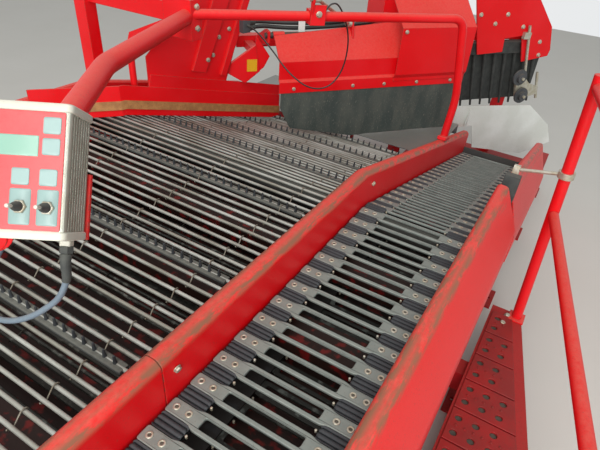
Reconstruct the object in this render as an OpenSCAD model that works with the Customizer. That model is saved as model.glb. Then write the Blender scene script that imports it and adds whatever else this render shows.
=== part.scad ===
// Picking table of a potato harvester: two webs side by side whose far section slopes down,
// their walls and divider, the guide panel, the hood with its rubber curtain, the picker's
// platform, and the control arm with its terminal. Millimetres, +Z up. X runs across the table
// along the web rods, Y along the webs, away from the picker's end. Z = 0 is the floor under
// the feet.

/* [Table] */
// Height of the web surface above the floor
web_z = 850; // [840:5:860]
// Downward slope of the far section in degrees
slope = 14.6; // [14:0.1:15.5]
// Place along Y where the webs, divider and left wall bend down
kink_y = 660; // [650:5:670]
// Place of the webs' near roller axis along Y
near_y = -900; // [-950:10:-880]
// Length of the main web's sloping run
main_slope_l = 1040; // [1020:5:1045]
// Length of the narrow web's sloping run
narrow_slope_l = 1625; // [1600:5:1628]

/* [Main web] */
// Left end of the rods
rods_left = -950; // [-955:1:-940]
// Right end of the rods
rods_right = 380; // [370:1:384]
// Diameter of a web rod
rod_d = 11; // [9:0.5:12]
// Wished distance between rods, fitted to the loop
rod_pitch = 38; // [34:1:42]
// Radius of the loop of rod centres round a roller
main_loop_r = 80; // [76:1:82]
// Width of a web belt
belt_w = 55; // [40:1:60]
// Thickness of a web belt
belt_t = 15; // [12.5:0.5:16]
// Height of a rubber flight above the rods
flight_h = 16; // [8:1:18]

/* [Narrow web] */
// Left end of the slats
slat_left = 462; // [461:1:470]
// Right end of the slats
slat_right = 842; // [835:1:845]
// Length of the tab at each end of a slat, which lies on the belt
slat_tab = 82; // [70:1:90]
// Width of a slat's tab along the web
slat_tab_w = 38; // [30:1:44]
// Wished distance between slats, fitted to the loop
slat_pitch = 80; // [75:1:90]
// Width of a slat's bar
slat_bar_w = 11; // [8:1:13]
// Thickness of a slat
slat_t = 7; // [5:0.5:8]
// Radius of the loop of slat tops round a roller
narrow_loop_r = 78; // [74:1:80]

/* [Walls] */
// Thickness of the wall sheets
sheet_t = 4; // [3:0.5:5]
// Height of the near walls above the web
wall_h = 118; // [110:1:124]
// Inner face of the right wall
right_wall_x = 850; // [849:1:852]
// Inner face of the left wall
left_wall_x = -972; // [-976:1:-965]
// Left face of the divider
divider_x = 400; // [398:1:402]
// Width of the divider
divider_w = 55; // [50:1:56]
// Height of the divider above the web
divider_h = 125; // [115:1:130]
// Height of the guide panel above the web at its bend
guide_h = 158; // [150:1:165]

/* [Hood] */
// Outer diameter of the hood's carrying tube
tube_d = 40; // [36:1:42]
// Height of the tube's axis at its left end
tube_z = 1342; // [1336:1:1346]
// Thickness of the rubber curtain
curtain_t = 8; // [5:1:9]
// Height of the curtain's lower edge at its left end
curtain_foot_z = 688; // [686:2:700]
// Diameter of the tube that the hood swings on
hinge_d = 30; // [26:1:32]

/* [Platform] */
// Height of the picker's floor
floor_z = 250; // [245:5:265]
// Outer diameter of the railing tubes
rail_d = 42; // [34:1:48]
// Height of the railing's middle rail
rail_z = 807; // [780:1:830]

/* [Control arm] */
// Outer diameter of the arm
arm_d = 80; // [70:1:84]
// Width of the terminal
terminal_w = 155; // [150:1:160]
// Height of the terminal
terminal_h = 170; // [160:1:176]
// Depth of the terminal
terminal_d = 72; // [66:1:76]

/* [Hidden] */

// Gap left between curved faces that almost touch, and radial play of a running fit
gap = 0.3;
play = 0.05;

// Levels of the base
foot_t = 12;
beam_low = 115;
beam_mid = 215;
beam_top = 295;

// Sheets of the side walls end this high in the near part
wall_foot_z = 650;

// Centre frame fills the divider
centre_x = divider_x + sheet_t;
centre_w = divider_w - 2 * sheet_t;

// Ends of the frame along Y, the far ones measured along the slope
frame_near_y = near_y - 95;
left_wall_end = kink_y + main_slope_l + 150;
narrow_far_y = kink_y + narrow_loop_r * tan(slope / 2) + narrow_slope_l + narrow_loop_r;
divider_end = narrow_far_y + 23;
right_wall_end = divider_end + 84;

// Height of the web surface at a place along Y
function web_at(y) = y < kink_y ? web_z : web_z - (y - kink_y) * tan(slope);

// A web's loop runs round three axes: near roller, bend and far roller. A web is given by
// [radius of its surface round the axes, length of its sloping run].
SURFACE_R = 0;
SLOPE_L = 1;
main = [main_loop_r + rod_d / 2, main_slope_l];
narrow = [narrow_loop_r, narrow_slope_l];
function axis_z(w) = web_z - w[SURFACE_R];
function flat_l(w) = kink_y - w[SURFACE_R] * tan(slope / 2) - near_y;
function bend_axis(w) = [near_y + flat_l(w), axis_z(w)];
function far_axis(w) = bend_axis(w) + w[SLOPE_L] * [cos(slope), -sin(slope)];

// Length of the loop at radius r, and [y, z, turn] at distance s along it from the near top
function loop_l(w, r) =
    2 * (flat_l(w) + w[SLOPE_L]) - 2 * r * tan(slope / 2) + r * slope * PI / 180 + 2 * PI * r;
function along(c, r, turn, s) =
    [c[0] - r * sin(turn) + s * cos(turn), c[1] + r * cos(turn) + s * sin(turn), turn];
function loop_at(w, r, s) =
    let (near = [near_y, axis_z(w)], a = flat_l(w), b = w[SLOPE_L], cut = r * tan(slope / 2),
         s1 = a, s2 = s1 + r * slope * PI / 180, s3 = s2 + b, s4 = s3 + PI * r,
         s5 = s4 + b - cut, s6 = s5 + a - cut, deg = 180 / PI / r)
    s < s1 ? along(near, r, 0, s) :
    s < s2 ? along(bend_axis(w), r, -(s - s1) * deg, 0) :
    s < s3 ? along(bend_axis(w), r, -slope, s - s2) :
    s < s4 ? along(far_axis(w), r, -slope - (s - s3) * deg, 0) :
    s < s5 ? along(far_axis(w), r, -slope - 180, s - s4) :
    s < s6 ? along(near, r, -180, s - s6) :
    along(near, r, -180 - (s - s6) * deg, 0);

// Outline of a bent sheet of even thickness t whose one face follows the points p
function unit(v) = v / norm(v);
function left_of(v) = [-v[1], v[0]];
function mitre(p, i) =
    let (a = i > 0 ? left_of(unit(p[i] - p[i - 1])) : left_of(unit(p[1] - p[0])),
         b = i < len(p) - 1 ? left_of(unit(p[i + 1] - p[i])) : a)
    (a + b) / (1 + a * b);
function sheet_outline(p, t) =
    concat(p, [for (i = [len(p) - 1:-1:0]) p[i] + t * mitre(p, i)]);

// Draws a cross-section given in (x, z) as a bar from y0 to y1
module along_y(y0, y1) {
    translate([0, y1, 0]) rotate([90, 0, 0]) linear_extrude(y1 - y0) children();
}

// Draws a cross-section given in (y, z) as a bar from x0 to x1
module along_x(x0, x1) {
    translate([x0, 0, 0]) rotate([90, 0, 90]) linear_extrude(x1 - x0) children();
}

// Box between two corners
module block(low, high) {
    translate(low) cube(high - low);
}

// Round bar between two points
module bar(from, to, d) {
    v = to - from;
    translate(from)
        rotate([0, acos(v[2] / norm(v)), atan2(v[1], v[0])])
            cylinder(d = d, h = norm(v), $fn = 48);
}

// Moves children from the level near section to the sloping far section
module on_slope() {
    translate([0, kink_y, web_z]) rotate([-slope, 0, 0]) translate([0, -kink_y, -web_z])
        children();
}

// Place in (y, z) that is l down the slope from the kink and h above the web surface
function down(l, h) = [kink_y + l * cos(slope) + h * sin(slope), web_z - l * sin(slope) + h * cos(slope)];

// Place at height h in the plane in which everything bends
function at_kink(h) =
    [kink_y + h / cos(slope / 2) * sin(slope / 2), web_z + h / cos(slope / 2) * cos(slope / 2)];

// Bar of a cross-section given clockwise in (x, z), bent down at the kink, from y0 to y1 along it
module bent_bar(outline, y0, y1) {
    n = len(outline);
    rows = concat([for (p = outline) [p[0], y0, p[1]]],
                  [for (p = outline) let (q = at_kink(p[1] - web_z)) [p[0], q[0], q[1]]],
                  [for (p = outline) let (q = down(y1 - kink_y, p[1] - web_z)) [p[0], q[0], q[1]]]);
    walls = [for (i = [0:1]) for (k = [0:n - 1])
        [i * n + k, (i + 1) * n + k, (i + 1) * n + (k + 1) % n, i * n + (k + 1) % n]];
    polyhedron(rows, concat(walls, [[for (k = [0:n - 1]) k], [for (k = [n - 1:-1:0]) 2 * n + k]]), convexity = 6);
}
function turned_back(p) = [for (i = [len(p) - 1:-1:0]) p[i]];

// Outline of a web's loop in (y, z) at radius r, its rounds as flats that touch the true arcs
arc_steps = 12;
function on_arc(c, r, a) = c + r * [cos(a), sin(a)];
function loop_outline(w, r) =
    let (near = [near_y, axis_z(w)], bend = bend_axis(w), far = far_axis(w),
         step = 180 / arc_steps, corner_r = r / cos(step / 2), bend_r = r / cos(slope / 2))
    concat([for (i = [0:arc_steps - 1]) on_arc(near, corner_r, 270 - step * (i + 0.5))],
           [on_arc(bend, bend_r, 90 - slope / 2)],
           [for (i = [0:arc_steps - 1]) on_arc(far, corner_r, 90 - slope - step * (i + 0.5))],
           [on_arc(bend, bend_r, -90 - slope / 2)]);

module belt(w, x0, width, r_out, r_in) {
    along_x(x0, x0 + width) difference() {
        polygon(loop_outline(w, r_out));
        polygon(loop_outline(w, r_in));
    }
}

// Main web: two belts with rods let into their flanks, and rubber flights over some rods
main_loop = loop_l(main, main_loop_r);
rod_count = round(main_loop / rod_pitch);
rod_step = main_loop / rod_count;
// Distance of each flight along the loop
flight_s = [195, 585, 950, 1380, 1746, 2036, 2295, 2543, 2950, 3340, 3730, 4120, 4510, 4900, 5290];
module main_web() {
    rods_x = rods_left + belt_w - 3;
    rods_l = rods_right - rods_left - 2 * belt_w + 6;
    color("#8d8f8c") {
        for (x = [rods_left, rods_right - belt_w])
            belt(main, x, belt_w, main_loop_r + belt_t / 2, main_loop_r - belt_t / 2);
        for (i = [0:rod_count - 1]) {
            p = loop_at(main, main_loop_r, i * rod_step);
            translate([rods_x, p[0], p[1]]) rotate([p[2], 0, 0]) rotate([0, 90, 0])
                cylinder(d = rod_d, h = rods_l, $fn = 6);
        }
        for (s = flight_s) {
            p = loop_at(main, main_loop_r, round(s / rod_step) * rod_step);
            translate([rods_x + 12, p[0], p[1]]) rotate([p[2], 0, 0])
                block([0, -rod_d / 2 - 1, -rod_d / 2 - 1],
                      [rods_l - 24, rod_d / 2 + 1, rod_d / 2 + flight_h]);
        }
    }
}

// One slat: a flat forging with a tab on each belt, shoulders, and a long slot between two bars
slat_count = round(loop_l(narrow, narrow_loop_r) / slat_pitch);
slat_step = loop_l(narrow, narrow_loop_r) / slat_count;
slat_shoulder = 18;
module slat() {
    half = slat_step / 4 + slat_bar_w / 2;
    slot = slat_step / 4 - slat_bar_w / 2;
    l = slat_right - slat_left;
    // Half outline from one end to the other, mirrored for the other side
    edge = [[0, slat_tab_w / 2], [slat_tab - slat_shoulder, slat_tab_w / 2], [slat_tab, half]];
    upper = concat(edge, [for (i = [2:-1:0]) [l - edge[i][0], edge[i][1]]]);
    lower = [for (i = [5:-1:0]) [upper[i][0], -upper[i][1]]];
    linear_extrude(slat_t) difference() {
        polygon(concat(upper, lower));
        translate([slat_tab + 6, -slot]) square([l - 2 * slat_tab - 12, 2 * slot]);
    }
}

// Narrow web for stones and trash: slats let into the backs of two rubber belts
narrow_belt_r = narrow_loop_r - slat_t + 2;
narrow_belt_t = 11;
module narrow_web() {
    w = slat_tab - 8;
    color("#6f7472") {
        for (x = [slat_left + 2, slat_right - w - 2])
            belt(narrow, x, w, narrow_belt_r, narrow_belt_r - narrow_belt_t);
        for (i = [0:slat_count - 1]) {
            p = loop_at(narrow, narrow_loop_r, i * slat_step);
            translate([slat_left, p[0], p[1]]) rotate([p[2], 0, 0])
                translate([0, 0, -slat_t]) slat();
        }
    }
}

// Roller inside a loop, with a shaft that ends in the frame's faces
shaft_d = 35;
bend_roller_r = 40;
module roller(x0, x1, at, r, shaft_x0, shaft_x1) {
    translate([x0, at[0], at[1]]) rotate([0, 90, 0]) cylinder(r = r, h = x1 - x0, $fn = 64);
    translate([shaft_x0, at[0], at[1]]) rotate([0, 90, 0])
        cylinder(d = shaft_d, h = shaft_x1 - shaft_x0, $fn = 48);
}

// The two end rollers and the small one under the bend
module rollers(w, x0, x1, r, shaft_x0, shaft_x1) {
    up = r - bend_roller_r;
    for (at = [[near_y, axis_z(w)], far_axis(w)]) roller(x0, x1, at, r, shaft_x0, shaft_x1);
    roller(x0, x1, bend_axis(w) + up * [sin(slope / 2), cos(slope / 2)], bend_roller_r,
           shaft_x0, shaft_x1);
}

module main_web_rollers() {
    color("#3b3b3b")
        rollers(main, rods_left, rods_right, main_loop_r - belt_t / 2 - gap, left_wall_x, centre_x);
}

module narrow_web_rollers() {
    color("#3b3b3b")
        rollers(narrow, slat_left, slat_right, narrow_belt_r - narrow_belt_t - gap,
                centre_x + centre_w, right_wall_x);
}

// Bearing housings on the outer faces of the walls
module housing() {
    cylinder(d = 110, h = 10, $fn = 48);
    cylinder(d = 62, h = 28, $fn = 48);
}

module bearings() {
    color("#4a4d50") {
        for (at = [[near_y, axis_z(main)], far_axis(main)])
            translate([left_wall_x - sheet_t, at[0], at[1]]) rotate([0, -90, 0]) housing();
        for (at = [[near_y, axis_z(narrow)], far_axis(narrow)])
            translate([right_wall_x + sheet_t, at[0], at[1]]) rotate([0, 90, 0]) housing();
    }
}

// Base: two long beams on cross beams, whose places along Y and right ends are in this table
cross_beams = [[-750, 1500], [0, 1340], [750, 1150], [1500, 934], [2250, 934], [2900, 934]];
left_beam = [left_wall_x - sheet_t - 74, left_wall_x - sheet_t];
right_beam = [right_wall_x + sheet_t, right_wall_x + sheet_t + 80];
base_far_y = 2960;
module base_beams() {
    color("#c8102e")
        for (x = [left_beam, right_beam])
            block([x[0], frame_near_y, beam_mid], [x[1], base_far_y, beam_top]);
}

module cross_members() {
    color("#b90f2a")
        for (b = cross_beams)
            block([left_beam[0], b[0] - 40, beam_low], [b[1], b[0] + 40, beam_mid]);
}

// Feet: post and bolted plate under each cross beam
bolt_d = 18;
bolt_span = 150;
module base_feet() {
    color("#b00d27")
        for (b = cross_beams)
            for (x = [left_beam[0] + 100, 0, b[1] > 1000 ? 1040 : 860]) {
                block([x - 40, b[0] - 40, foot_t], [x + 40, b[0] + 40, beam_low]);
                difference() {
                    block([x - 100, b[0] - 75, 0], [x + 100, b[0] + 75, foot_t]);
                    for (dx = [-bolt_span / 2, bolt_span / 2])
                        translate([x + dx, b[0], -1]) cylinder(d = bolt_d, h = foot_t + 2, $fn = 32);
                }
            }
}

// Posts from the base to the walls' outer faces and to the centre frame
post_ys = [-750, 0, 750, far_axis(main)[0] - 156, far_axis(narrow)[0] - 162];
function post_top(y) = web_at(y) - 45;
// Two of the left posts go on up to the arm's bracket and to the gantry
tall_post_ys = [post_ys[2], post_ys[3]];
module frame_posts() {
    color("#c8102e") {
        for (y = post_ys) {
            top = post_top(y);
            if (y < left_wall_end) block([left_beam[0] + 6, y - 35, beam_top], [left_beam[1], y + 35, top]);
            block([right_beam[0], y - 35, beam_top], [right_beam[0] + 62, y + 35, top]);
        }
        // Posts under the centre frame, their tops cut to its underside
        for (b = [0:3])
            let (y = cross_beams[b][0])
                along_x(centre_x, centre_x + centre_w)
                    polygon([[y - 35, beam_mid], [y + 35, beam_mid], [y + 35, centre_foot(y + 35)],
                             [y - 35, centre_foot(y - 35)]]);
    }
}
function centre_foot(y) =
    y < kink_y ? wall_foot_z : web_at(y) - (web_z - wall_foot_z) / cos(slope);

// Tubes across the table inside both loops
module web_cross_members() {
    color("#b3122b") {
        for (y = [-560, 60, 380]) cross_tubes(y, true);
        on_slope() {
            for (share = [0.29, 0.67]) cross_tubes(kink_y + share * main_slope_l, true);
            for (share = [0.68, 0.9]) cross_tubes(kink_y + share * narrow_slope_l, false);
        }
    }
}
module cross_tubes(y, both) {
    if (both)
        block([left_wall_x, y - 50, axis_z(main) - 28], [centre_x, y + 50, axis_z(main) + 28]);
    block([centre_x + centre_w, y - 50, axis_z(narrow) - 25], [right_wall_x, y + 50, axis_z(narrow) + 25]);
}

// Pans under both webs catch the soil that falls through, from wall to wall
pan_t = 4;
module pan(x0, x1, l) {
    h = wall_foot_z - web_z;
    along_x(x0, x1)
        polygon([[frame_near_y, wall_foot_z], at_kink(h), down(l, h), down(l, h + pan_t), at_kink(h + pan_t),
                 [frame_near_y, wall_foot_z + pan_t]]);
}
module soil_pans() {
    color("#8c1020") {
        pan(left_wall_x, centre_x, main_slope_l + 110);
        pan(centre_x + centre_w, right_wall_x, narrow_slope_l - 30);
    }
}

module centre_frame() {
    color("#c8102e")
        bent_bar([[centre_x, wall_foot_z], [centre_x, web_z - 8], [centre_x + centre_w, web_z - 8],
                  [centre_x + centre_w, wall_foot_z]], frame_near_y, divider_end - 20);
}

// Left wall: upright sheet with its top folded over and down
module left_wall() {
    color("#d5152f") difference() {
        bent_bar(sheet_outline([[left_wall_x - 60, web_z + 40], [left_wall_x - 60, web_z + wall_h - 20],
                                [left_wall_x - 30, web_z + wall_h], [left_wall_x - 8, web_z + wall_h],
                                [left_wall_x, web_z + wall_h - 8], [left_wall_x, wall_foot_z]], -sheet_t),
                 frame_near_y, left_wall_end);
        // Notches for the two tall posts
        for (y = tall_post_ys)
            block([left_beam[0] - 1, y - 30, web_at(y) - 60], [left_beam[1], y + 30, web_z + wall_h + 1]);
    }
}

// Right wall: inner sheet, scuffed ridge, then an outer face that slopes out to the platform
outer_x = 110;
module right_wall_profile(h) {
    polygon(sheet_outline([[right_wall_x + outer_x, web_z - 140], [right_wall_x + outer_x, web_z - 30],
                           [right_wall_x + 38, web_z + h + 2], [right_wall_x + 8, web_z + h],
                           [right_wall_x, web_z + h - 8], [right_wall_x, wall_foot_z]], sheet_t));
}

// The near part stays level past the webs' bend and ends in a slanted cut
near_wall_end = 905;
module right_wall_near() {
    color("#d5152f") difference() {
        along_y(frame_near_y, near_wall_end) right_wall_profile(wall_h);
        translate([right_wall_x, near_wall_end, 0]) rotate([0, 0, -15])
            block([-20, 0, wall_foot_z - 50], [200, 100, web_z + wall_h + 50]);
    }
}

// The far part stands beside the sloping webs
far_wall_start = 1000;
far_wall_h = 160;
module right_wall_far() {
    color("#d5152f")
        on_slope() along_y(far_wall_start, right_wall_end) right_wall_profile(far_wall_h);
}

// Black rubber block before the far part's ridge
module wall_buffer() {
    color("#2b2c2c")
        on_slope()
            block([right_wall_x + 7, far_wall_start - 70, web_z + far_wall_h - 60],
                  [right_wall_x + 60, far_wall_start, web_z + far_wall_h + 40]);
}

// Divider: a folded cap over the centre frame, in two lengths
divider_seam_y = -340;
divider_foot = 32;
divider_top = web_z + divider_h;
divider_right = divider_x + divider_w;
divider_sheet = sheet_outline([[divider_x, web_z - divider_foot], [divider_x, divider_top - 14],
                               [divider_x + 14, divider_top], [divider_right - 14, divider_top],
                               [divider_right, divider_top - 14], [divider_right, web_z - divider_foot]],
                              -sheet_t);

module divider_near() {
    color("#d5152f")
        along_y(frame_near_y, divider_seam_y) polygon(divider_sheet);
}

module divider_far() {
    color("#d5152f")
        bent_bar(divider_sheet, divider_seam_y, divider_end);
}

// Lip across the narrow web's far end
module end_plate() {
    color("#3d4042")
        on_slope()
            block([divider_x + divider_w, divider_end - 12, web_z - 50],
                  [right_wall_x, divider_end - 4, web_z + 26]);
}

// Grey plate that takes the crop from the main web's far end
outlet_z = 604;
outlet_near = 1704;
outlet_far = 2250;
module outlet_plate() {
    color("#7d8285")
        along_x(left_wall_x, divider_x - 2)
            polygon(sheet_outline([[outlet_near, outlet_z], [outlet_far, outlet_z],
                                   [outlet_far, outlet_z - 60]], sheet_t));
}

module outlet_gussets() {
    color("#b3122b")
        for (x = [-960, -300, 330])
            along_x(x, x + 10)
                polygon([[2210, beam_mid], [outlet_far - 1, beam_mid], [outlet_far - 1, outlet_z],
                         [1790, outlet_z], [1800, outlet_z - 25], [2210, outlet_z - 150]]);
}

// Guide panel: a bent sheet that stands over the main web and follows its surface
guide_start = [left_wall_x, 364];
guide_bend = [-735, 640];
guide_end = [-490, 1560];
near_guide = guide_bend - guide_start;
far_guide = guide_end - guide_bend;
guide_low = flight_h + 4;

// Frame of the far guide line: x along the line, y to its back
module on_far_guide() {
    translate([guide_bend[0], guide_bend[1], 0]) rotate([0, 0, atan2(far_guide[1], far_guide[0])])
        children();
}

// Keeps the part of children that lies between two heights above the web, inside the left wall
module over_web(low, high) {
    intersection() {
        translate([0, 0, wall_foot_z]) linear_extrude(900) children();
        along_x(left_wall_x, -400)
            polygon([[300, web_z + low], [kink_y, web_z + low], [1700, web_at(1700) + low],
                     [1700, web_at(1700) + high], [kink_y, web_z + high], [300, web_z + high]]);
    }
}

// Outline in (x, y) of a sheet whose face follows the guide line
module guide_line(t) {
    before = guide_start - 20 * unit(near_guide);
    polygon(sheet_outline([before, guide_bend, guide_end], t));
}

module guide_panel() {
    color("#cf142e") over_web(guide_low, guide_h) guide_line(sheet_t);
}

// Raised sheet behind the far guide panel, with a slanted near end
guide_raise = 214;
module guide_extension() {
    color("#c8102e") intersection() {
        over_web(60, guide_raise) translate(guide_bend)
            rotate(atan2(far_guide[1], far_guide[0])) translate([140, sheet_t]) square([810, sheet_t]);
        on_far_guide()
            along_y(0, 4 * sheet_t)
                polygon([[100, 500], [1000, 500], [1000, 1200], [210, 1200], [140, 960]]);
    }
}

// Side housing over the far guide: a big sheet with two sloping rails on its face
housing_y = 2 * sheet_t;
module side_housing() {
    color("#c8102e")
        on_far_guide()
            along_y(housing_y, housing_y + sheet_t)
                polygon([[146, 930], [560, 860], [720, 1300], [760, 1400], [290, 1400], [290, 1240],
                         [146, 1110]]);
}

module housing_rails() {
    color("#d5152f")
        on_far_guide() {
            along_y(housing_y - 16, housing_y)
                polygon([[375, 1010], [450, 990], [640, 1400], [540, 1400]]);
            along_y(housing_y - 16, housing_y)
                polygon([[540, 962], [572, 954], [742, 1350], [700, 1350]]);
        }
}

// Scuffed strip on the panel's face
module wear_strip() {
    color("#b98a5a") over_web(50, 90) guide_line(-5);
}

// Bars from the left wall to the back of the guide panel
function near_back(y) =
    guide_start[0] + (y - guide_start[1]) * near_guide[0] / near_guide[1] - sheet_t * norm(near_guide) / near_guide[1];
function far_back(y, t) =
    guide_bend[0] + (y - guide_bend[1]) * far_guide[0] / far_guide[1] - t * norm(far_guide) / far_guide[1];
module guide_brackets() {
    color("#b3122b") {
        guide_bracket(500, near_back(480), near_back(520), web_z + 62);
        guide_bracket(720, far_back(700, sheet_t), far_back(740, sheet_t), web_at(740) + 60);
        guide_bracket(1200, far_back(1180, 2 * sheet_t), far_back(1220, 2 * sheet_t), web_at(1220) + 66);
    }
}
module guide_bracket(y, x0, x1, z) {
    translate([0, 0, z]) linear_extrude(36)
        polygon([[left_wall_x, y - 20], [x0, y - 20], [x1, y + 20], [left_wall_x, y + 20]]);
}

// Bracket at the end of a beam from the left post, where the arm and the hood tube begin
arm_y = 742;
bracket_low = [-530, 735, 1246];
bracket_high = [-385, 795, 1396];
module arm_bracket() {
    color("#d5152f") {
        block([left_beam[0] + 6, tall_post_ys[0] - 30, post_top(tall_post_ys[0])],
              [left_beam[1], tall_post_ys[0] + 30, 1372]);
        block([left_beam[1], 742, 1300], [bracket_low[0], 778, 1372]);
        block(bracket_low, bracket_high);
    }
}

// Folded sheet beside the arm's root, on a small leg over the guide panel
module arm_gusset() {
    color("#d5152f") {
        along_y(bracket_low[1] + 7, bracket_low[1] + 11)
            polygon([[-800, 1090], [-745, 1215], [-545, 1300], [-545, 1250], [-700, 1130], [-760, 1070]]);
        bar([-752, 742, web_z + 118], [-752, 742, 1100], 30);
    }
}

// Diagonal parts stand parallel to the tube. Their frame has x along the diagonal and y away
// from the picker, and its origin lies on the line that the view crosses squarely.
diagonal = 51;
diagonal_foot = [1000, -800];
module on_diagonal(c = 0) {
    translate([diagonal_foot[0], diagonal_foot[1], 0]) rotate([0, 0, diagonal])
        translate([0, c, 0]) children();
}

// Distances of the diagonal planes
tube_c = 2070;
hood_c = 2380;
chute_c = 2450;
plate_c = 2600;
gantry_c = 2700;

// Gantry: posts, a long diagonal beam, and ears for the hinge tube
gantry_low = 1030;
gantry_top = 1090;
hinge_at = [130, 1138];
hood_u = [800, 1920];
module gantry_posts() {
    color("#b00d27") {
        block([left_beam[0] + 6, tall_post_ys[1] - 30, post_top(tall_post_ys[1])],
              [left_beam[1], tall_post_ys[1] + 30, gantry_top]);
        on_diagonal()
            for (u = [1750, 2530]) block([u, gantry_c, beam_mid], [u + 60, gantry_c + 60, gantry_low]);
    }
}

module gantry_beams() {
    color("#b00d27") {
        on_diagonal() block([660, gantry_c, gantry_low], [2760, gantry_c + 60, gantry_top]);
        difference() {
            block([left_beam[1], tall_post_ys[1] - 30, gantry_low], [-560, tall_post_ys[1] + 30, gantry_top]);
            on_diagonal() block([400, gantry_c - 600, gantry_low - 1], [1400, gantry_c + 30, gantry_top + 1]);
        }
    }
}

// Arms on the gantry: to the side plate and the chute, and the ears of the hinge tube
ear_t = 12;
hinge_c = hood_c + hinge_at[0];
module gantry_arms() {
    color("#b90f2a")
        on_diagonal() {
            for (u = [2200, 2600])
                block([u, plate_c + 8, gantry_low], [u + 50, gantry_c, gantry_low + 50]);
            block([2535, chute_c + sheet_t, 400], [2585, gantry_c, 450]);
            for (u = [hood_u[0] - 20 - ear_t, hood_u[1] + 20])
                along_x(u, u + ear_t) difference() {
                    polygon([[hinge_c - 26, hinge_at[1] - 30], [hinge_c - 26, hinge_at[1] + 26],
                             [hinge_c + 30, hinge_at[1] + 26], [gantry_c, gantry_top],
                             [gantry_c, gantry_low]]);
                    translate([hinge_c, hinge_at[1]]) circle(d = hinge_d + 2 * play, $fn = 48);
                }
        }
}

module hinge_tube() {
    color("#4a4d50")
        on_diagonal(hood_c)
            translate([hood_u[0] - 40, hinge_at[0], hinge_at[1]]) rotate([0, 90, 0])
                cylinder(d = hinge_d, h = hood_u[1] - hood_u[0] + 80, $fn = 48);
}

// Swept tubes: rounded path through corner points, rings across it
function rounded(p, r, n) =
    [for (i = [0:len(p) - 1])
        if (i == 0 || i == len(p) - 1) p[i]
        else let (a = p[i] + r * unit(p[i - 1] - p[i]), b = p[i] + r * unit(p[i + 1] - p[i]))
            for (k = [0:n]) let (t = k / n) (1 - t) * (1 - t) * a + 2 * t * (1 - t) * p[i] + t * t * b];
function ring(c, v, r, n, side) =
    let (a = unit(cross(v, side)), b = cross(v, a))
    [for (k = [0:n - 1]) c + r * (cos(360 * k / n) * a + sin(360 * k / n) * b)];
module swept(points, d, sides, side = [0, 0, 1]) {
    last = len(points) - 1;
    rings = [for (i = [0:last])
        let (v = unit(points[min(i + 1, last)] - points[max(i - 1, 0)])) ring(points[i], v, d / 2, sides, side)];
    verts = [for (r = rings) for (p = r) p];
    walls = [for (i = [0:last - 1]) for (k = [0:sides - 1])
        [i * sides + k, (i + 1) * sides + k, (i + 1) * sides + (k + 1) % sides, i * sides + (k + 1) % sides]];
    caps = [[for (k = [0:sides - 1]) k], [for (k = [sides - 1:-1:0]) last * sides + k]];
    polyhedron(verts, concat(walls, caps), convexity = 4);
}

// Tube that carries the hood's stay: along the diagonal, then bent down to the divider's top
tube_start_u = 310;
tube_corner_u = 1598;
tube_drop = 32;
tube_knee = [1668, 915];
tube_foot_u = 1650;
tube_fall = atan(tube_drop / (tube_corner_u - tube_start_u));
function tube_z_at(u) = tube_z - (u - tube_start_u) * tan(tube_fall);
function at_diagonal(u, c, z) =
    [diagonal_foot[0] + u * cos(diagonal) - c * sin(diagonal),
     diagonal_foot[1] + u * sin(diagonal) + c * cos(diagonal), z];
function divider_top_at(y) = web_z + (divider_h - (y - kink_y) * sin(slope)) / cos(slope);
tube_foot = at_diagonal(tube_foot_u, tube_c, divider_top_at(at_diagonal(tube_foot_u, tube_c, 0)[1]));
module hood_tube() {
    path = rounded([at_diagonal(tube_start_u, tube_c, tube_z), at_diagonal(tube_corner_u, tube_c, tube_z - tube_drop),
                    at_diagonal(tube_knee[0], tube_c, tube_knee[1]), tube_foot + [0, 0, 14]], 60, 4);
    color("#d5152f") {
        difference() {
            swept(path, tube_d, 16, [sin(diagonal), -cos(diagonal), 0]);
            block(bracket_low - [0, 80, 0], bracket_high + [0, 40, 0]);
        }
        translate([tube_foot[0], tube_foot[1], tube_foot[2]]) rotate([-slope, 0, 0])
            translate([-24, -45, 0]) cube([48, 90, 22]);
    }
}

// Clamp on the tube with an ear beside the stay's upper eye
stay_from = [834, -40, 1404];
stay_to = [1214, 430, 1192];
eye_l = 24;
ear_u = stay_from[0] - eye_l / 2 - 10;
clamp_u = ear_u + 33;
module tube_bracket() {
    color("#d5152f") {
        on_diagonal(tube_c) {
            translate([clamp_u, 0, tube_z_at(clamp_u)]) rotate([0, tube_fall, 0]) along_x(-33, 33) difference() {
                polygon([[-34, -30], [26, -30], [26, 28], [-22, 28], [-22, 50], [-34, 50]]);
                circle(d = tube_d + 2 * play, $fn = 48);
            }
            along_x(ear_u, ear_u + 10 - gap)
                polygon([[-34, tube_z], [-24, tube_z], [-26, stay_from[2] + 12], [-48, stay_from[2] + 12],
                         [-48, stay_from[2] - 12]]);
        }
    }
}

// Galvanised stay between the clamp's ear and the lug on the hood
module hood_rod() {
    color("#c9c9bd")
        on_diagonal(tube_c) {
            bar(stay_from, stay_to, 16);
            for (eye = [[stay_from, 28], [stay_to, 34]])
                translate(eye[0] - [eye_l / 2, 0, 0]) rotate([0, 90, 0]) cylinder(d = eye[1], h = eye_l, $fn = 32);
        }
}

// Hood: folded sheet that swings on the hinge tube, its bolted flange holding the curtain
flange_top = 952;
flange_foot = 884;
roof_angle = 43.8;
roof_near = [0, 1041];
function on_roof(l) = roof_near + l * [cos(roof_angle), sin(roof_angle)];
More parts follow.
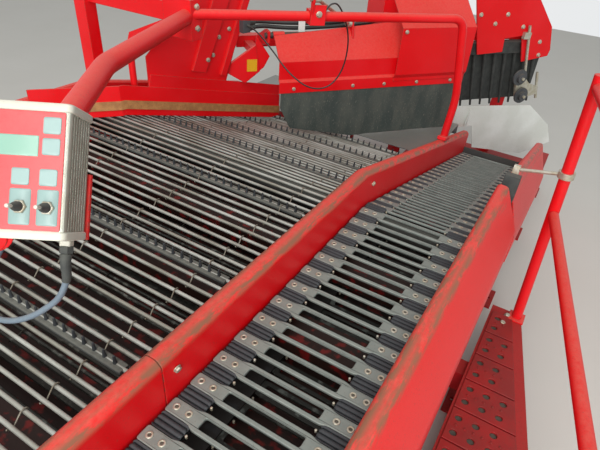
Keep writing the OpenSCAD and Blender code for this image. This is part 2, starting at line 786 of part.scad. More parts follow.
// The roof's far edge runs askew: this far behind the hood's plane at the left, and more to the right
roof_reach = 107;
roof_skew = 4;
module hood() {
    lug_u = stay_to[0] + eye_l / 2 + gap;
    color("#d5152f")
        on_diagonal(hood_c) {
            difference() {
                along_x(hood_u[0], hood_u[1])
                    polygon(sheet_outline([[-curtain_t - sheet_t, flange_foot],
                                           [-curtain_t - sheet_t, flange_top - 12], [0, flange_top],
                                           roof_near, on_roof(211)], -sheet_t));
                translate([hood_u[0], roof_reach, roof_near[1]]) rotate([0, 0, roof_skew])
                    block([-10, 0, 0], [1200, 160, 200]);
            }
            for (u = [hood_u[0], 1120, hood_u[1] - 60]) knuckle(u, 60);
            along_x(lug_u, lug_u + 10)
                polygon([on_roof(118), on_roof(180), [136, stay_to[2] + 14], [106, stay_to[2] + 14]]);
        }
}
module knuckle(u, l) {
    along_x(u, u + l) difference() {
        union() {
            translate(hinge_at) circle(d = hinge_d + 9, $fn = 48);
            polygon([on_roof(119) - [0, 2], on_roof(138) - [0, 2], [hinge_at[0], hinge_at[1] + 15],
                     [hinge_at[0], hinge_at[1] - 15]]);
        }
        translate(hinge_at) circle(d = hinge_d + 2 * play, $fn = 48);
    }
}

// Cover over the hood's right part: a front sheet and a roof that swing with it
cover_u = [1455, 1915];
lip_y = -curtain_t - 2 * sheet_t;
module hood_cover() {
    color("#c00f28")
        on_diagonal(hood_c)
            along_x(cover_u[0], cover_u[1])
                polygon(sheet_outline([[lip_y, flange_top - 34], [lip_y, flange_top - 16], [-30, flange_top + 4],
                                       [-30, 1200], [112, 1320]], -sheet_t));
}

module curtain() {
    color("#3a3b39")
        on_diagonal(hood_c)
            along_y(-curtain_t, 0)
                polygon([[hood_u[0] + 70, curtain_foot_z], [1230, outlet_z + 10], [1870, outlet_z + 10],
                         [hood_u[1] - 14, 760], [hood_u[1] - 14, flange_top - 20], [hood_u[0] + 14, flange_top - 20],
                         [hood_u[0] + 14, 800]]);
}

// Closed drive housing above and behind the cover, on the gantry beam
module drive_housing() {
    color("#c8102e")
        on_diagonal(hood_c)
            along_x(cover_u[0], cover_u[1])
                polygon([[205, gantry_top], [400, gantry_top], [400, 1400], [230, 1430], [205, 1400]]);
}

// Small red box left of the hood, with a blank yellow plate on its face
box_c = 2520;
module small_box() {
    color("#c00f28")
        on_diagonal(box_c) {
            along_y(0, 20)
                polygon([[564, 954], [564, 987], [716, 1088], [740, 955], [661, 895]]);
            along_y(7, 20)
                polygon([[716, 1088], [722, 1132], [794, 1029], [763, 972], [740, 955]]);
            block([700, 20, gantry_low], [745, gantry_c - box_c, gantry_low + 36]);
        }
}
module blank_plate() {
    color("#e6b71e")
        on_diagonal(box_c) block([670, -1.5, 956], [724, 0, 1018]);
}

// Block on the housing's far rail, where two hoses and a cable leave
module hose_block() {
    color("#4a4d50") on_far_guide() block([655, -38, 1156], [700, housing_y - 16, 1216]);
}

// Hoses from the block over the hinge tube into the drive housing, and the cable that hangs before
// the hood and ends at the clamp: places along the diagonal, away from the picker, and up
hose_d = 20;
function diagonal_route(p) = [for (q = p) at_diagonal(q[0], q[1], q[2])];
upper_route = [[675, 2521, 1200], [700, 2532, 1200], [730.6, 2541, 1198.5], [771.8, 2544, 1196.6],
               [833.3, 2538, 1193.6], [931.7, 2529, 1191.6], [1064.2, 2541, 1187.6],
               [1180.6, 2555, 1188.6], [1305.1, 2572, 1194.6], [1375.3, 2588, 1200.7],
               [1422.7, 2599, 1206.8], [1441, 2604, 1210], [1454.7, 2604, 1210]];
lower_route = [[675, 2521, 1174], [700, 2532, 1175], [730.6, 2540, 1175.5], [771.8, 2542, 1175.5],
               [835.3, 2541, 1170], [933.9, 2531, 1167], [1066.7, 2539, 1167], [1183.4, 2548, 1170],
               [1308.2, 2559, 1176.1], [1378.6, 2572, 1180.1], [1419.4, 2586, 1186.1], [1440, 2600, 1189],
               [1454.7, 2600, 1189]];
module upper_hose() {
    color("#232525") swept(diagonal_route(upper_route), hose_d, 8);
}
module lower_hose() {
    color("#232525") swept(diagonal_route(lower_route), hose_d, 8);
}
cable_d = 7;
cable_route = [[666, 2498, 1190], [672, 2484, 1189], [682.2, 2466, 1184.8], [697.7, 2440, 1173.9],
               [716.9, 2404, 1154.2], [734, 2360, 1130.6], [753.6, 2315, 1102.6], [781, 2275, 1062.3],
               [807.9, 2245, 1032.3], [839.1, 2225, 1005.5], [871.7, 2212, 983], [910.6, 2204, 968.2],
               [953.6, 2200, 964.2], [993.8, 2196, 975.9], [1024.5, 2192, 1003.4], [1047.2, 2188, 1041.7],
               [1059, 2182, 1086.9], [1062.4, 2175, 1133], [1059.1, 2166, 1180.4], [1048.7, 2156, 1226.7],
               [1033.2, 2145, 1265.4], [1013.6, 2132, 1299.2], [992.2, 2118, 1330.5],
               [968.2, 2103, 1357.6], [942.2, 2086, 1374.8], [913, 2066, 1377], [893, 2051, 1369],
               [881.6, 2044, 1359]];
module hood_cable() {
    color("#1d1e1e") swept(diagonal_route(cable_route), cable_d, 8, [sin(diagonal), -cos(diagonal), 0.3]);
}

// Tie rod from the far wall to the railing's post
post_foot = [1085, 1132, floor_z];
post_top = [1028, 1120, 1340];
function on_post(z) = post_foot + (post_top - post_foot) * (z - floor_z) / (post_top[2] - floor_z);
tie_z = 972;
module tie_rod() {
    eye = on_post(tie_z);
    lug = [right_wall_x + 26, 1150, web_at(1150) + (far_wall_h + 2) / cos(slope)];
    color("#c9c9bd") {
        translate(lug) rotate([-slope, 0, 0]) translate([-12, -18, 0.5]) cube([24, 36, 50]);
        bar(lug + [0, 0, 36], eye - rail_d / 2 * unit(eye - lug - [0, 0, 36]) - [4, 0, 0], 14);
        translate(eye) rotate([0, atan2(post_top[0] - post_foot[0], post_top[2] - post_foot[2]), 0])
            translate([0, 0, -12]) difference() {
                cylinder(d = rail_d + 16, h = 24, $fn = 48);
                translate([0, 0, -1]) cylinder(d = rail_d + 1, h = 26, $fn = 48);
            }
    }
}

// Picker's platform on the cross beams, and its railing
platform = [[975, frame_near_y], [1600, frame_near_y], [1578, -800], [1255, 489], [1112, 1110],
            [1112, 1160], [975, 1160]];
module platform_floor() {
    color("#9c1024")
        translate([0, 0, beam_mid]) linear_extrude(floor_z - beam_mid) polygon(platform);
}

// Railing posts as [foot, top] and rails from post to post at two heights
rail_posts = [[post_foot, post_top], [[1387, -180, floor_z], [1294, -180, 1340]],
              [[1560, -960, floor_z], [1500, -960, 1340]]];
function post_at(i, z) =
    let (p = rail_posts[i]) p[0] + (p[1] - p[0]) * (z - floor_z) / (p[1][2] - floor_z);
foot_plate_t = 8;
module railing_posts() {
    color("#d5152f")
        for (p = rail_posts) {
            v = unit(p[1] - p[0]);
            // The leaning tube's low edge stands on its plate
            rise = (foot_plate_t + rail_d / 2 * norm([v[0], v[1]]) + play) / v[2];
            bar(p[0] + rise * v, p[1], rail_d);
            block(p[0] - [33, 33, 0], p[0] + [33, 33, foot_plate_t]);
        }
}
module railing_rails() {
    color("#d5152f")
        for (z = [rail_z, 1300], i = [0:1]) {
            from = post_at(i, z);
            to = post_at(i + 1, z);
            v = (rail_d / 2 + gap) * unit(to - from);
            bar(from + v, to - v, rail_d - 4);
        }
}

// Control arm: two straight tubes that meet in an elbow
arm_z = 1340;
arm_from = [-416, arm_y, arm_z];
arm_elbow = [-184, 147, arm_z];
arm_to = [300, -500, arm_z];
module control_arm() {
    color("#d5152f") difference() {
        union() {
            bar(arm_from, arm_elbow + 9 * unit(arm_elbow - arm_from), arm_d);
            bar(arm_elbow - 9 * unit(arm_to - arm_elbow), arm_to, arm_d);
        }
        block([bracket_low[0] - 50, bracket_low[1], bracket_low[2]], bracket_high + [50, 0, 0]);
    }
}

// Terminal at the arm's end, tilted to the picker
terminal_at = [425, -512, 1487];
terminal_turn = 31;
terminal_tilt = -35;
module at_terminal() {
    translate(terminal_at) rotate([0, 0, terminal_turn]) rotate([terminal_tilt, 0, 0]) children();
}

module terminal_mount() {
    v = unit(arm_to - arm_elbow);
    color("#c8102e") {
        bar(arm_to, arm_to + 10 * v, arm_d);
        bar(arm_to + 5 * v, [378, -493, 1396], 30);
        at_terminal() block([-terminal_w / 2, terminal_d, -terminal_h / 2], [terminal_w / 2, terminal_d + 6, 5]);
    }
}

// Case: rounded block with a gland under it
module terminal_case() {
    color("#d9d6cf")
        at_terminal() {
            translate([0, terminal_d, 0]) rotate([90, 0, 0]) linear_extrude(terminal_d) difference() {
                square([terminal_w, terminal_h], center = true);
                for (sx = [-1, 1], sz = [-1, 1])
                    translate([sx * terminal_w / 2, sz * terminal_h / 2]) rotate(45) square(8, center = true);
            }
            translate([62, 43, -terminal_h / 2 - 18]) cylinder(d = 20, h = 18, $fn = 32);
        }
}

// Cord from the terminal's gland in a loop back to the arm's underside
cord_d = 9;
cord_points = [[490.6, -501, 1377.2], [494, -506.7, 1367.8], [495.5, -511, 1346], [487.5, -516.5, 1322],
               [474, -521, 1301], [458, -529, 1284], [440, -538, 1268], [419, -547, 1254],
               [396, -554, 1243], [372, -558, 1236], [348, -556, 1233], [325, -548, 1234],
               [305, -534, 1240], [289, -515, 1250], [278, -494, 1263], [272, -474, 1278],
               [270, -462, 1299]];
module terminal_cord() {
    color("#566470") swept(cord_points, cord_d, 8, [0.6, 0.8, 0]);
}

// White chute behind the narrow web's end: back sheet with a folded wing
module chute() {
    color("#e8e8e0")
        on_diagonal(chute_c) {
            along_y(0, sheet_t)
                polygon([[2000, 702], [2582, 670], [2806, 510], [2875, 374], [2632, 313], [2202, 400],
                         [2150, 560], [2000, 560]]);
            translate([2110, 0, 0]) rotate([0, 0, -140])
                along_y(-sheet_t, 0) polygon([[0, 690], [60, 600], [60, 565], [0, 565]]);
        }
}

// Finger belt: rubber fingers that hang in rows from a belt behind the side plate
finger_pitch = 80;
finger_lean = 11.4;
module finger_belt() {
    color("#262626")
        on_diagonal(plate_c) {
            block([2030, 30, 960], [2760, 90, gantry_low]);
            block([2030, 80, 640], [2760, 90, 960]);
            for (i = [0:8])
                translate([2110 + i * finger_pitch, 60, 612]) rotate([0, -finger_lean, 0])
                    cylinder(d1 = 14, d2 = 26, h = 361, $fn = 8);
        }
}

// Red side plate with a stepped lower edge
module side_plate() {
    color("#d5152f")
        on_diagonal(plate_c)
            along_y(0, 8)
                polygon([[2040, 1400], [2068, 1288], [2172, 968], [2360, 980], [2350, 1062], [2481, 1076],
                         [2539, 910], [2741, 942], [2749, 981], [2700, 1127], [2541, 1288], [2440, 1400]]);
}

// Adjuster on the side plate: spindle, link plate and pins for two small rollers
upper_at = [2534, 818];
lower_at = [2589, 694];
roller_pin_d = 20;
module roller_carrier() {
    color("#c9c9bd")
        on_diagonal(plate_c) {
            block([2480, -24, 1060], [2530, 0, 1100]);
            bar([2505, -14, 1140], [2612, -14, 740], 18);
            along_y(-24, -4)
                polygon([[2510, 830], [2545, 850], [2640, 770], [2730, 740], [2730, 690], [2620, 670],
                         [2560, 680]]);
            bar([2690, -14, 840], [2748, -14, 660], 18);
            for (p = [upper_at, lower_at])
                translate([p[0], -24, p[1]]) rotate([90, 0, 0]) cylinder(d = roller_pin_d, h = 50, $fn = 32);
        }
}
module small_roller(at) {
    on_diagonal(plate_c)
        translate([at[0], -30, at[1]]) rotate([90, 0, 0]) difference() {
            union() {
                cylinder(d = 104, h = 12, $fn = 48);
                cylinder(d = 60, h = 34, $fn = 48);
            }
            translate([0, 0, -1]) cylinder(d = roller_pin_d + 2 * play, h = 36, $fn = 48);
        }
}
module roller_upper() {
    color("#4a4d50") small_roller(upper_at);
}
module roller_lower() {
    color("#4a4d50") small_roller(lower_at);
}

base_beams();
cross_members();
base_feet();
frame_posts();
web_cross_members();
centre_frame();
left_wall();
right_wall_near();
right_wall_far();
wall_buffer();
divider_near();
divider_far();
main_web();
main_web_rollers();
narrow_web();
narrow_web_rollers();
bearings();
end_plate();
outlet_plate();
outlet_gussets();
guide_panel();
guide_extension();
guide_brackets();
wear_strip();
arm_bracket();
arm_gusset();
side_housing();
housing_rails();
gantry_posts();
gantry_beams();
gantry_arms();
hinge_tube();
hood_tube();
tube_bracket();
hood_rod();
hood();
hood_cover();
curtain();
drive_housing();
small_box();
blank_plate();
hose_block();
upper_hose();
lower_hose();
hood_cable();
soil_pans();
tie_rod();
platform_floor();
railing_posts();
railing_rails();
control_arm();
terminal_mount();
terminal_case();
terminal_cord();
chute();
finger_belt();
side_plate();
roller_carrier();
roller_upper();
roller_lower();
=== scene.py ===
import bmesh
import bpy
import numpy as np
from mathutils import Matrix, Vector
from mathutils.geometry import tessellate_polygon


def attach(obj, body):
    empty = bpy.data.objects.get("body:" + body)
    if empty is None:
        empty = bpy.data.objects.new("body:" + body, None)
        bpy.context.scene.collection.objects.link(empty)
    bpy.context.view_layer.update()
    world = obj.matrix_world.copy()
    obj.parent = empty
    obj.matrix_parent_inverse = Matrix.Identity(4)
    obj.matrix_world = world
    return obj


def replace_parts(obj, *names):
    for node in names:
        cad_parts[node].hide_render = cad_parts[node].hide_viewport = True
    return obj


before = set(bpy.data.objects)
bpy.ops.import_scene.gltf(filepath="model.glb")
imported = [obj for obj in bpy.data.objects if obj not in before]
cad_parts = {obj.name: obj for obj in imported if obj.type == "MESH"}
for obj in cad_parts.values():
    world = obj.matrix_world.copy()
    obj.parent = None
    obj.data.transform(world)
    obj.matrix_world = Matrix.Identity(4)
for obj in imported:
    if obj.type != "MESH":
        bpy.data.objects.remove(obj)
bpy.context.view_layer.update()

# Places and sizes that the part's source names, in millimetres
WEB_Z = 850
SLOPE = np.radians(14.6)
KINK_Y = 660
NEAR_Y = -900
RODS = (-950, 380)
ROD_D = 11
ROD_PITCH = 38
MAIN_R = 80
MAIN_SURFACE_R = MAIN_R + ROD_D / 2
MAIN_SLOPE_L = 1040
BELT_W = 55
BELT_T = 15
FLIGHTS = [195, 585, 950, 1380, 1746, 2036, 2295, 2543, 2950, 3340, 3730, 4120, 4510, 4900, 5290]
SLATS = (462, 842)
NARROW_R = 78
NARROW_SLOPE_L = 1625
SLAT_PITCH = 80
SLAT_T = 7
SLAT_TAB = 82
SLAT_TAB_W = 38
SLAT_BAR_W = 11
SHEET_T = 4
NEAR_END = -995
DIVIDER_X, DIVIDER_H = (400, 455), 125
DIAGONAL = np.radians(51)
DIAGONAL_FOOT = np.array([1000.0, -800.0])
TUBE_C, COVER_C, FLANGE_C, HOOD_C, PLATE_C = 2070, 2346, 2366, 2380, 2600
TERMINAL_AT = (425, -512, 1487)
TERMINAL_TURN, TERMINAL_TILT = np.radians(31), np.radians(-35)


# Camera where the photograph was taken from
def camera():
    """Camera from its place and its right, up and forward directions, found from the object's own lines."""
    data = bpy.data.cameras.new("view")
    data.sensor_width = 36
    data.lens = 30.06
    data.clip_start = 0.02
    view = bpy.data.objects.new("view", data)
    right = np.array([0.853, 0.518, 0.067])
    ahead = np.array([-0.393, 0.722, -0.569])
    right = right / np.linalg.norm(right)
    ahead = ahead - right * (ahead @ right)
    ahead = ahead / np.linalg.norm(ahead)
    up = np.cross(right, ahead)
    turn = Matrix(np.column_stack([right, up, -ahead]).tolist()).to_4x4()
    view.matrix_world = Matrix.Translation((1.0, -0.8, 1.805)) @ turn
    bpy.context.scene.collection.objects.link(view)
    bpy.context.scene.camera = view


camera()


# Materials
def linear(code):
    """sRGB hex to linear: values up to 0.04045 are divided by 12.92, the rest follow the 2.4 power curve."""
    s = np.array([int(code[i:i + 2], 16) for i in (1, 3, 5)]) / 255
    rgb = np.where(s <= 0.04045, s / 12.92, ((s + 0.055) / 1.055) ** 2.4)
    return (*rgb.tolist(), 1.0)


def add(tree, kind, inputs=None, **settings):
    """Adds one node with its settings; each input gets a number, a colour, another node's output, or the
    first output of the node that is given."""
    node = tree.nodes.new("ShaderNode" + kind)
    for name, value in settings.items():
        setattr(node, name, value)
    for name, value in (inputs or {}).items():
        if isinstance(value, bpy.types.Node):
            value = value.outputs[0]
        if isinstance(value, bpy.types.NodeSocket):
            tree.links.new(value, node.inputs[name])
        else:
            node.inputs[name].default_value = value
    return node


def started(name, roughness, metallic=0.0):
    """A new material with its tree, its shader and the object coordinates."""
    made = bpy.data.materials.new(name)
    made.use_nodes = True
    tree = made.node_tree
    shader = tree.nodes["Principled BSDF"]
    shader.inputs["Roughness"].default_value = roughness
    shader.inputs["Metallic"].default_value = metallic
    return made, tree, shader, add(tree, "TexCoord")


def over_webs(tree, coords):
    """Place across the table, along it, and height over the webs: the greater of the heights over the level
    plane and over the sloping one."""
    position = coords.outputs["Object"]
    x, y, z = add(tree, "SeparateXYZ", {0: position}).outputs
    tilt = (0, np.sin(SLOPE), np.cos(SLOPE))
    level = add(tree, "Math", {0: z, 1: WEB_Z * 0.001}, operation="SUBTRACT")
    sloping = add(tree, "VectorMath", {0: position, 1: tilt}, operation="DOT_PRODUCT").outputs["Value"]
    kink = (KINK_Y * np.sin(SLOPE) + WEB_Z * np.cos(SLOPE)) * 0.001
    sloping = add(tree, "Math", {0: sloping, 1: kink}, operation="SUBTRACT")
    return x, y, add(tree, "Math", {0: level, 1: sloping}, operation="MAXIMUM")


def shade_and_soil_under_webs(tree, coords):
    """Share of painted shade and wet soil, in blotches: none down to 12 mm under the webs, all from 45 to
    270 mm, between the side walls and as far as the outlet. Each bound is a share from none to full, and the
    shares are multiplied."""
    x, y, height = over_webs(tree, coords)
    share = None
    for value, none, full in ((height, -0.012, -0.045), (height, -0.3, -0.27), (x, -0.9515, -0.9505),
                              (x, 0.8515, 0.8505), (y, -0.99, -0.98), (y, 1.85, 1.7)):
        part = add(tree, "MapRange", {"Value": value, "From Min": none, "From Max": full})
        if share is not None:
            part = add(tree, "Math", {0: share, 1: part}, operation="MULTIPLY")
        share = part
    position = coords.outputs["Object"]
    cloud = add(tree, "TexNoise", {"Vector": position, "Scale": 28.0, "Detail": 5.0})
    blotch = add(tree, "MapRange", {"Value": cloud, "From Min": 0.66, "From Max": 0.56, "To Min": 0.6})
    return add(tree, "Math", {0: share, 1: blotch}, operation="MULTIPLY")


def on_ridges(tree, coords, ridges):
    """Share of scuffing in streaks round ridges, each a place across the table and a height over the webs:
    none 20 mm away from the nearest ridge, all within 3 mm of it."""
    x, _, height = over_webs(tree, coords)
    here = add(tree, "CombineXYZ", {0: x, 1: height})
    share = None
    for ridge in ridges:
        away = add(tree, "VectorMath", {0: here, 1: (*ridge, 0)}, operation="DISTANCE").outputs["Value"]
        part = add(tree, "MapRange", {"Value": away, "From Min": 0.02, "From Max": 0.003})
        if share is not None:
            part = add(tree, "Math", {0: share, 1: part}, operation="MAXIMUM")
        share = part
    at = add(tree, "Mapping", {"Vector": coords.outputs["Object"], "Scale": (1.0, 0.25, 1.0)})
    streaks = add(tree, "TexNoise", {"Vector": at, "Scale": 55.0, "Detail": 8.0, "Roughness": 0.65})
    streaks = add(tree, "MapRange", {"Value": streaks, "From Min": 0.4, "From Max": 0.53})
    return add(tree, "Math", {0: share, 1: streaks}, operation="MULTIPLY")


# Colours of paint that crop has rubbed brown, and of the painted shade and wet soil deep under the webs
SCUFF, SHADE_AND_WET_SOIL = "#8f5d47", "#191510"
# Metres between the clouds of dust, and between the grains of a surface's texture
DUST_GRAIN, GRAIN = 0.012, 0.0015


def weathered(name, clean, faded, dust, worn, roughness, metallic=0.0, patch=0.25, dusty=0.5, edge=0.002,
              wear=0.8, specks=0.35, relief=0.0002, stretch=(1, 1, 1), shade_and_soil=0.0, gloss=0.5, ridges=()):
    """Clean and faded patches, dust where the surface looks up, wear on its edges, specks and a fine relief.
    Sizes are in metres: patch is how far the faded patches are apart, edge the radius of the worn corner, and
    relief the height of the surface's texture. soiled is the share of painted shade and wet soil on what lies
    deep under the webs, gloss the shader's specular level, and ridges are where crop and gloves have rubbed
    the paint."""
    made, tree, shader, coords = started(name, roughness, metallic)
    shader.inputs["Specular IOR Level"].default_value = gloss
    at = add(tree, "Mapping", {"Vector": coords.outputs["Object"], "Scale": stretch})
    patches = add(tree, "TexNoise", {"Vector": at, "Scale": 1 / patch, "Detail": 5.0})
    share = add(tree, "MapRange", {"Value": patches, "From Min": 0.38, "From Max": 0.62})
    colour = add(tree, "Mix", {0: share, 6: linear(clean), 7: linear(faded)}, data_type="RGBA").outputs[2]
    # Dust lies on what looks up
    up = add(tree, "SeparateXYZ", {0: coords.outputs["Normal"]}).outputs[2]
    lies = add(tree, "MapRange", {"Value": up, "From Min": 0.25, "From Max": 0.95, "To Max": dusty})
    cloud = add(tree, "TexNoise", {"Vector": at, "Scale": 1 / DUST_GRAIN, "Detail": 8.0, "Roughness": 0.7})
    cloud = add(tree, "MapRange", {"Value": cloud, "From Min": 0.3, "From Max": 0.6, "To Min": 0.35})
    dust_share = add(tree, "Math", {0: lies, 1: cloud}, operation="MULTIPLY")
    # Corners: the rounded normal leaves the flat one there
    rounded_normal = add(tree, "Bevel", {"Radius": edge}, samples=6)
    flat_normal = add(tree, "NewGeometry").outputs["True Normal"]
    same = add(tree, "VectorMath", {0: rounded_normal, 1: flat_normal}, operation="DOT_PRODUCT").outputs[1]
    corner = add(tree, "MapRange", {"Value": same, "From Min": 0.999, "From Max": 0.9, "To Max": wear})
    chips = add(tree, "TexNoise", {"Vector": at, "Scale": 110.0, "Detail": 6.0})
    chips = add(tree, "MapRange", {"Value": chips, "From Min": 0.42, "From Max": 0.58})
    worn_share = add(tree, "Math", {0: corner, 1: chips}, operation="MULTIPLY")
    # Specks of dried soil
    soil = add(tree, "TexNoise", {"Vector": at, "Scale": 230.0, "Detail": 3.0})
    soil = add(tree, "MapRange", {"Value": soil, "From Min": 0.6, "From Max": 0.72, "To Max": specks})
    layers = [(dust_share, dust), (worn_share, worn), (soil, worn)]
    if ridges:
        layers.append((on_ridges(tree, coords, ridges), SCUFF))
    # Painted shade and wet soil, in blotches, on what lies deep under the webs
    if shade_and_soil:
        deep = add(tree, "Math", {0: shade_and_soil_under_webs(tree, coords), 1: shade_and_soil}, operation="MULTIPLY")
        layers.append((deep, SHADE_AND_WET_SOIL))
    for share, over in layers:
        colour = add(tree, "Mix", {0: share, 6: colour, 7: linear(over)}, data_type="RGBA").outputs[2]
    tree.links.new(colour, shader.inputs["Base Color"])
    dull = min(1.0, roughness + 0.35)
    rough = add(tree, "MapRange", {"Value": dust_share, "To Min": roughness, "To Max": dull})
    tree.links.new(rough.outputs[0], shader.inputs["Roughness"])
    fine = add(tree, "TexNoise", {"Vector": at, "Scale": 1 / GRAIN, "Detail": 2.0})
    bump = add(tree, "Bump", {"Height": fine, "Distance": relief, "Normal": rounded_normal, "Strength": 1.0})
    tree.links.new(bump.outputs[0], shader.inputs["Normal"])
    return made


# Where a finish asks for it, what lies deep under the webs is darkened: painted shade, with blotches of wet
# soil
# Signal red powder paint on sheet steel: dusty pink on top, brown where crop has rubbed its corners
PAINT = dict(clean="#dc0610", faded="#e01820", dust="#d97a68", worn="#7a5546", roughness=0.4, dusty=0.42,
             edge=0.004, shade_and_soil=0.9, gloss=0.28)
red_paint = weathered("red_paint", **PAINT)
# The paint of the divider and of the right wall, rubbed brown along their ridges
divider_paint = weathered("rubbed_divider_paint", **PAINT, ridges=((0.410, 0.120), (0.447, 0.118)))
wall_paint = weathered("rubbed_wall_paint", **PAINT, ridges=((0.860, 0.118), (0.889, 0.120), (0.889, 0.162)))
# The same paint, darker, on parts low on the machine: painted shade, and less dusted
shaded_red = weathered("shaded_red_paint", "#a00a12", "#ac151c", "#a34d42", "#4a2f26", 0.5, dusty=0.35,
                     specks=0.5, shade_and_soil=0.97, gloss=0.3)
# Punched tread, a darker red than the machine's paint, with specks of soil
tread_paint = weathered("tread_paint", "#a80812", "#8c1218", "#8a4034", "#5a4238", 0.45, patch=0.12,
                        dusty=0.35, specks=0.6, edge=0.003, gloss=0.35)
# Bare spring steel rods, polished pale by the crop, grey brown film in patches along them
worn_steel = weathered("worn_rod_steel", "#b9bcb6", "#85847a", "#bdbaaa", "#6c5d4c", 0.34, 0.5, patch=0.05,
                       dusty=0.35, specks=0.3, stretch=(0.25, 1, 1), edge=0.0008, wear=0.2, shade_and_soil=0.9)
# Forged slats, matt grey-green under a film of soil dust, paler along their rubbed edges
slat_steel = weathered("slat_steel", "#78827e", "#868f8a", "#93968c", "#5a5346", 0.5, 0.4, patch=0.05,
                       dusty=0.45, specks=0.25, edge=0.0012, wear=0.5, shade_and_soil=0.92)
# Drop from rolled steel, dark under old oil
dark_steel = weathered("dark_steel", "#3c3e3e", "#4b4a46", "#77705f", "#6a5640", 0.5, 0.5, shade_and_soil=0.9)
# Hooks of drawn wire, brown film over dull steel
hook_wire = weathered("hook_wire", "#8a867b", "#6e675a", "#8f8877", "#5d5040", 0.45, 0.5, patch=0.04,
                      dusty=0.4, shade_and_soil=0.9)
# Rolled plate rubbed smooth by potatoes
grey_plate = weathered("rolled_plate", "#7e8486", "#8e9292", "#a39c8c", "#6b5b49", 0.4, 0.5)
# Black rubber gone grey with dust
black_rubber = weathered("black_rubber", "#2b2e2d", "#383b39", "#6f7168", "#54524a", 0.72, patch=0.03,
                         dusty=0.55, wear=0.4, specks=0.3, relief=0.0004, shade_and_soil=0.9)
# Rubber of the flights, dustier than the rest because the crop lies on it
flight_rubber = weathered("flight_rubber", "#3f4140", "#4a4c49", "#77776d", "#54524a", 0.8, patch=0.04,
                          dusty=0.6, wear=0.3, specks=0.5, relief=0.0004, shade_and_soil=0.9)
# Moulded fingers and belt blocks, blue-black and wiped clean on their tops
block_rubber = weathered("block_rubber", "#1c2024", "#262a2e", "#4d5153", "#3c3a36", 0.6, patch=0.03,
                         dusty=0.45, wear=0.3, specks=0.2, relief=0.0004, shade_and_soil=0.9)
# Rubber curtain, dry dark green-grey with pale soil marks
curtain_rubber = weathered("curtain_rubber", "#363f3c", "#4a4f49", "#77776a", "#77776a", 0.8, patch=0.07,
                           dusty=0.4, specks=0.6, stretch=(1, 1, 0.35), relief=0.0006)
# Soft grey PVC sheath of the terminal's cable, slightly glossy
cord_rubber = weathered("cable_sheath", "#5b6a77", "#687682", "#8c948f", "#4d565e", 0.42, dusty=0.3,
                        specks=0.1, wear=0.0)
# Hydraulic hose and cable sheath, smooth black rubber with a faint sheen
hose_rubber = weathered("hose_rubber", "#1b1c1c", "#232424", "#5d5b54", "#4a4842", 0.45, dusty=0.4, wear=0.0,
                        specks=0.15)
# Painted cast iron, dark grey
cast_iron = weathered("cast_iron", "#45484a", "#54565a", "#7d786c", "#5d5044", 0.6, 0.2, relief=0.0006)
# Strip rubbed through to tan primer and rust
wear_strip = weathered("rubbed_strip", "#b07d4c", "#9a6a40", "#b8976c", "#6b4228", 0.6, patch=0.03, dusty=0.3,
                       specks=0.8)
# Galvanised bolts and rods, dull silver with yellowish film
zinc = weathered("zinc_plating", "#c3c1b4", "#b3ac96", "#bdb8a5", "#85795f", 0.4, 0.6, patch=0.02, dusty=0.3,
                 specks=0.15)
# Yellow enamelled plate, blank
yellow_plate = weathered("yellow_enamel", "#e0ac1e", "#d49d1a", "#cfae62", "#6e5a33", 0.4, dusty=0.3)
# Off-white ABS end caps
terminal_white = weathered("moulded_abs", "#c6c6ba", "#b9b8ac", "#c6c2b0", "#8e8674", 0.42, dusty=0.25,
                           specks=0.12, wear=0.3, edge=0.001)
# White polyethylene chute with brown stains of soil water
white_plastic = weathered("white_polyethylene", "#dde2de", "#cfd4ce", "#c4bfae", "#96806a", 0.5, patch=0.18,
                          specks=0.4, wear=0.5)
# Anodised aluminium extrusion, satin
aluminium = weathered("anodised_aluminium", "#b9bbb0", "#a9aa9c", "#c4c1b0", "#8b8878", 0.35, 0.7, patch=0.04,
                      dusty=0.2, specks=0.1, wear=0.2, edge=0.0006)
# Printed polyester face film, coral red
face_film = weathered("face_film", "#cc3a40", "#d14548", "#d9837a", "#a8423e", 0.35, dusty=0.25, specks=0.08,
                      wear=0.0)
# Pale grey-blue embossed keys in the film. Keys and display are written darker than they look, because the
# lamps show them more than twice as bright as written
key_film = weathered("key_film", "#87a19e", "#8fa8a5", "#98a9a4", "#75827f", 0.35, dusty=0.2, specks=0.05,
                     wear=0.0)
# Unlit liquid crystal display, grey-green behind clear film
display = weathered("display_glass", "#7fa796", "#88ae9e", "#94afa3", "#6d877b", 0.18, dusty=0.1, specks=0.0,
                    wear=0.0, relief=0.00001)

FINISH_OF = {
    "red_paint": red_paint, "worn_steel": worn_steel, "slat_steel": slat_steel, "dark_steel": dark_steel,
    "grey_plate": grey_plate, "black_rubber": black_rubber, "cord_rubber": cord_rubber, "zinc": zinc,
    "cast_iron": cast_iron, "wear_strip": wear_strip, "yellow_plate": yellow_plate,
    "terminal_case": terminal_white, "white_plastic": white_plastic,
}
# Solids low on the machine take the darker red of painted shade
DEEP_NODES = ("base_beams", "cross_members", "base_feet", "frame_posts", "web_cross_members", "centre_frame",
              "outlet_gussets", "platform_floor", "soil_pans")


# Shapes: each is an array of corners and a list of face arrays
def unit(v):
    """Vectors of length one."""
    return v / np.linalg.norm(v, axis=-1, keepdims=True)


def merged(*shapes):
    """Several shapes as one: face numbers are raised by the corners that come before them."""
    starts = np.cumsum([0] + [len(v) for v, _ in shapes])
    faces = [f + start for (_, fs), start in zip(shapes, starts) for f in fs]
    return np.concatenate([v for v, _ in shapes]), faces


def place(origin, x_axis, z_axis):
    """A place: three axes at right angles, x and z as given, and an origin, as three rows of four."""
    x = unit(np.array(x_axis, float))
    z = np.array(z_axis, float)
    z = unit(z - x * (z @ x))
    return np.column_stack([x, np.cross(z, x), z, np.array(origin, float)])


def unturned(x, y=0, z=0):
    """A place at a point, without a turn."""
    return place((x, y, z), (1, 0, 0), (0, 0, 1))


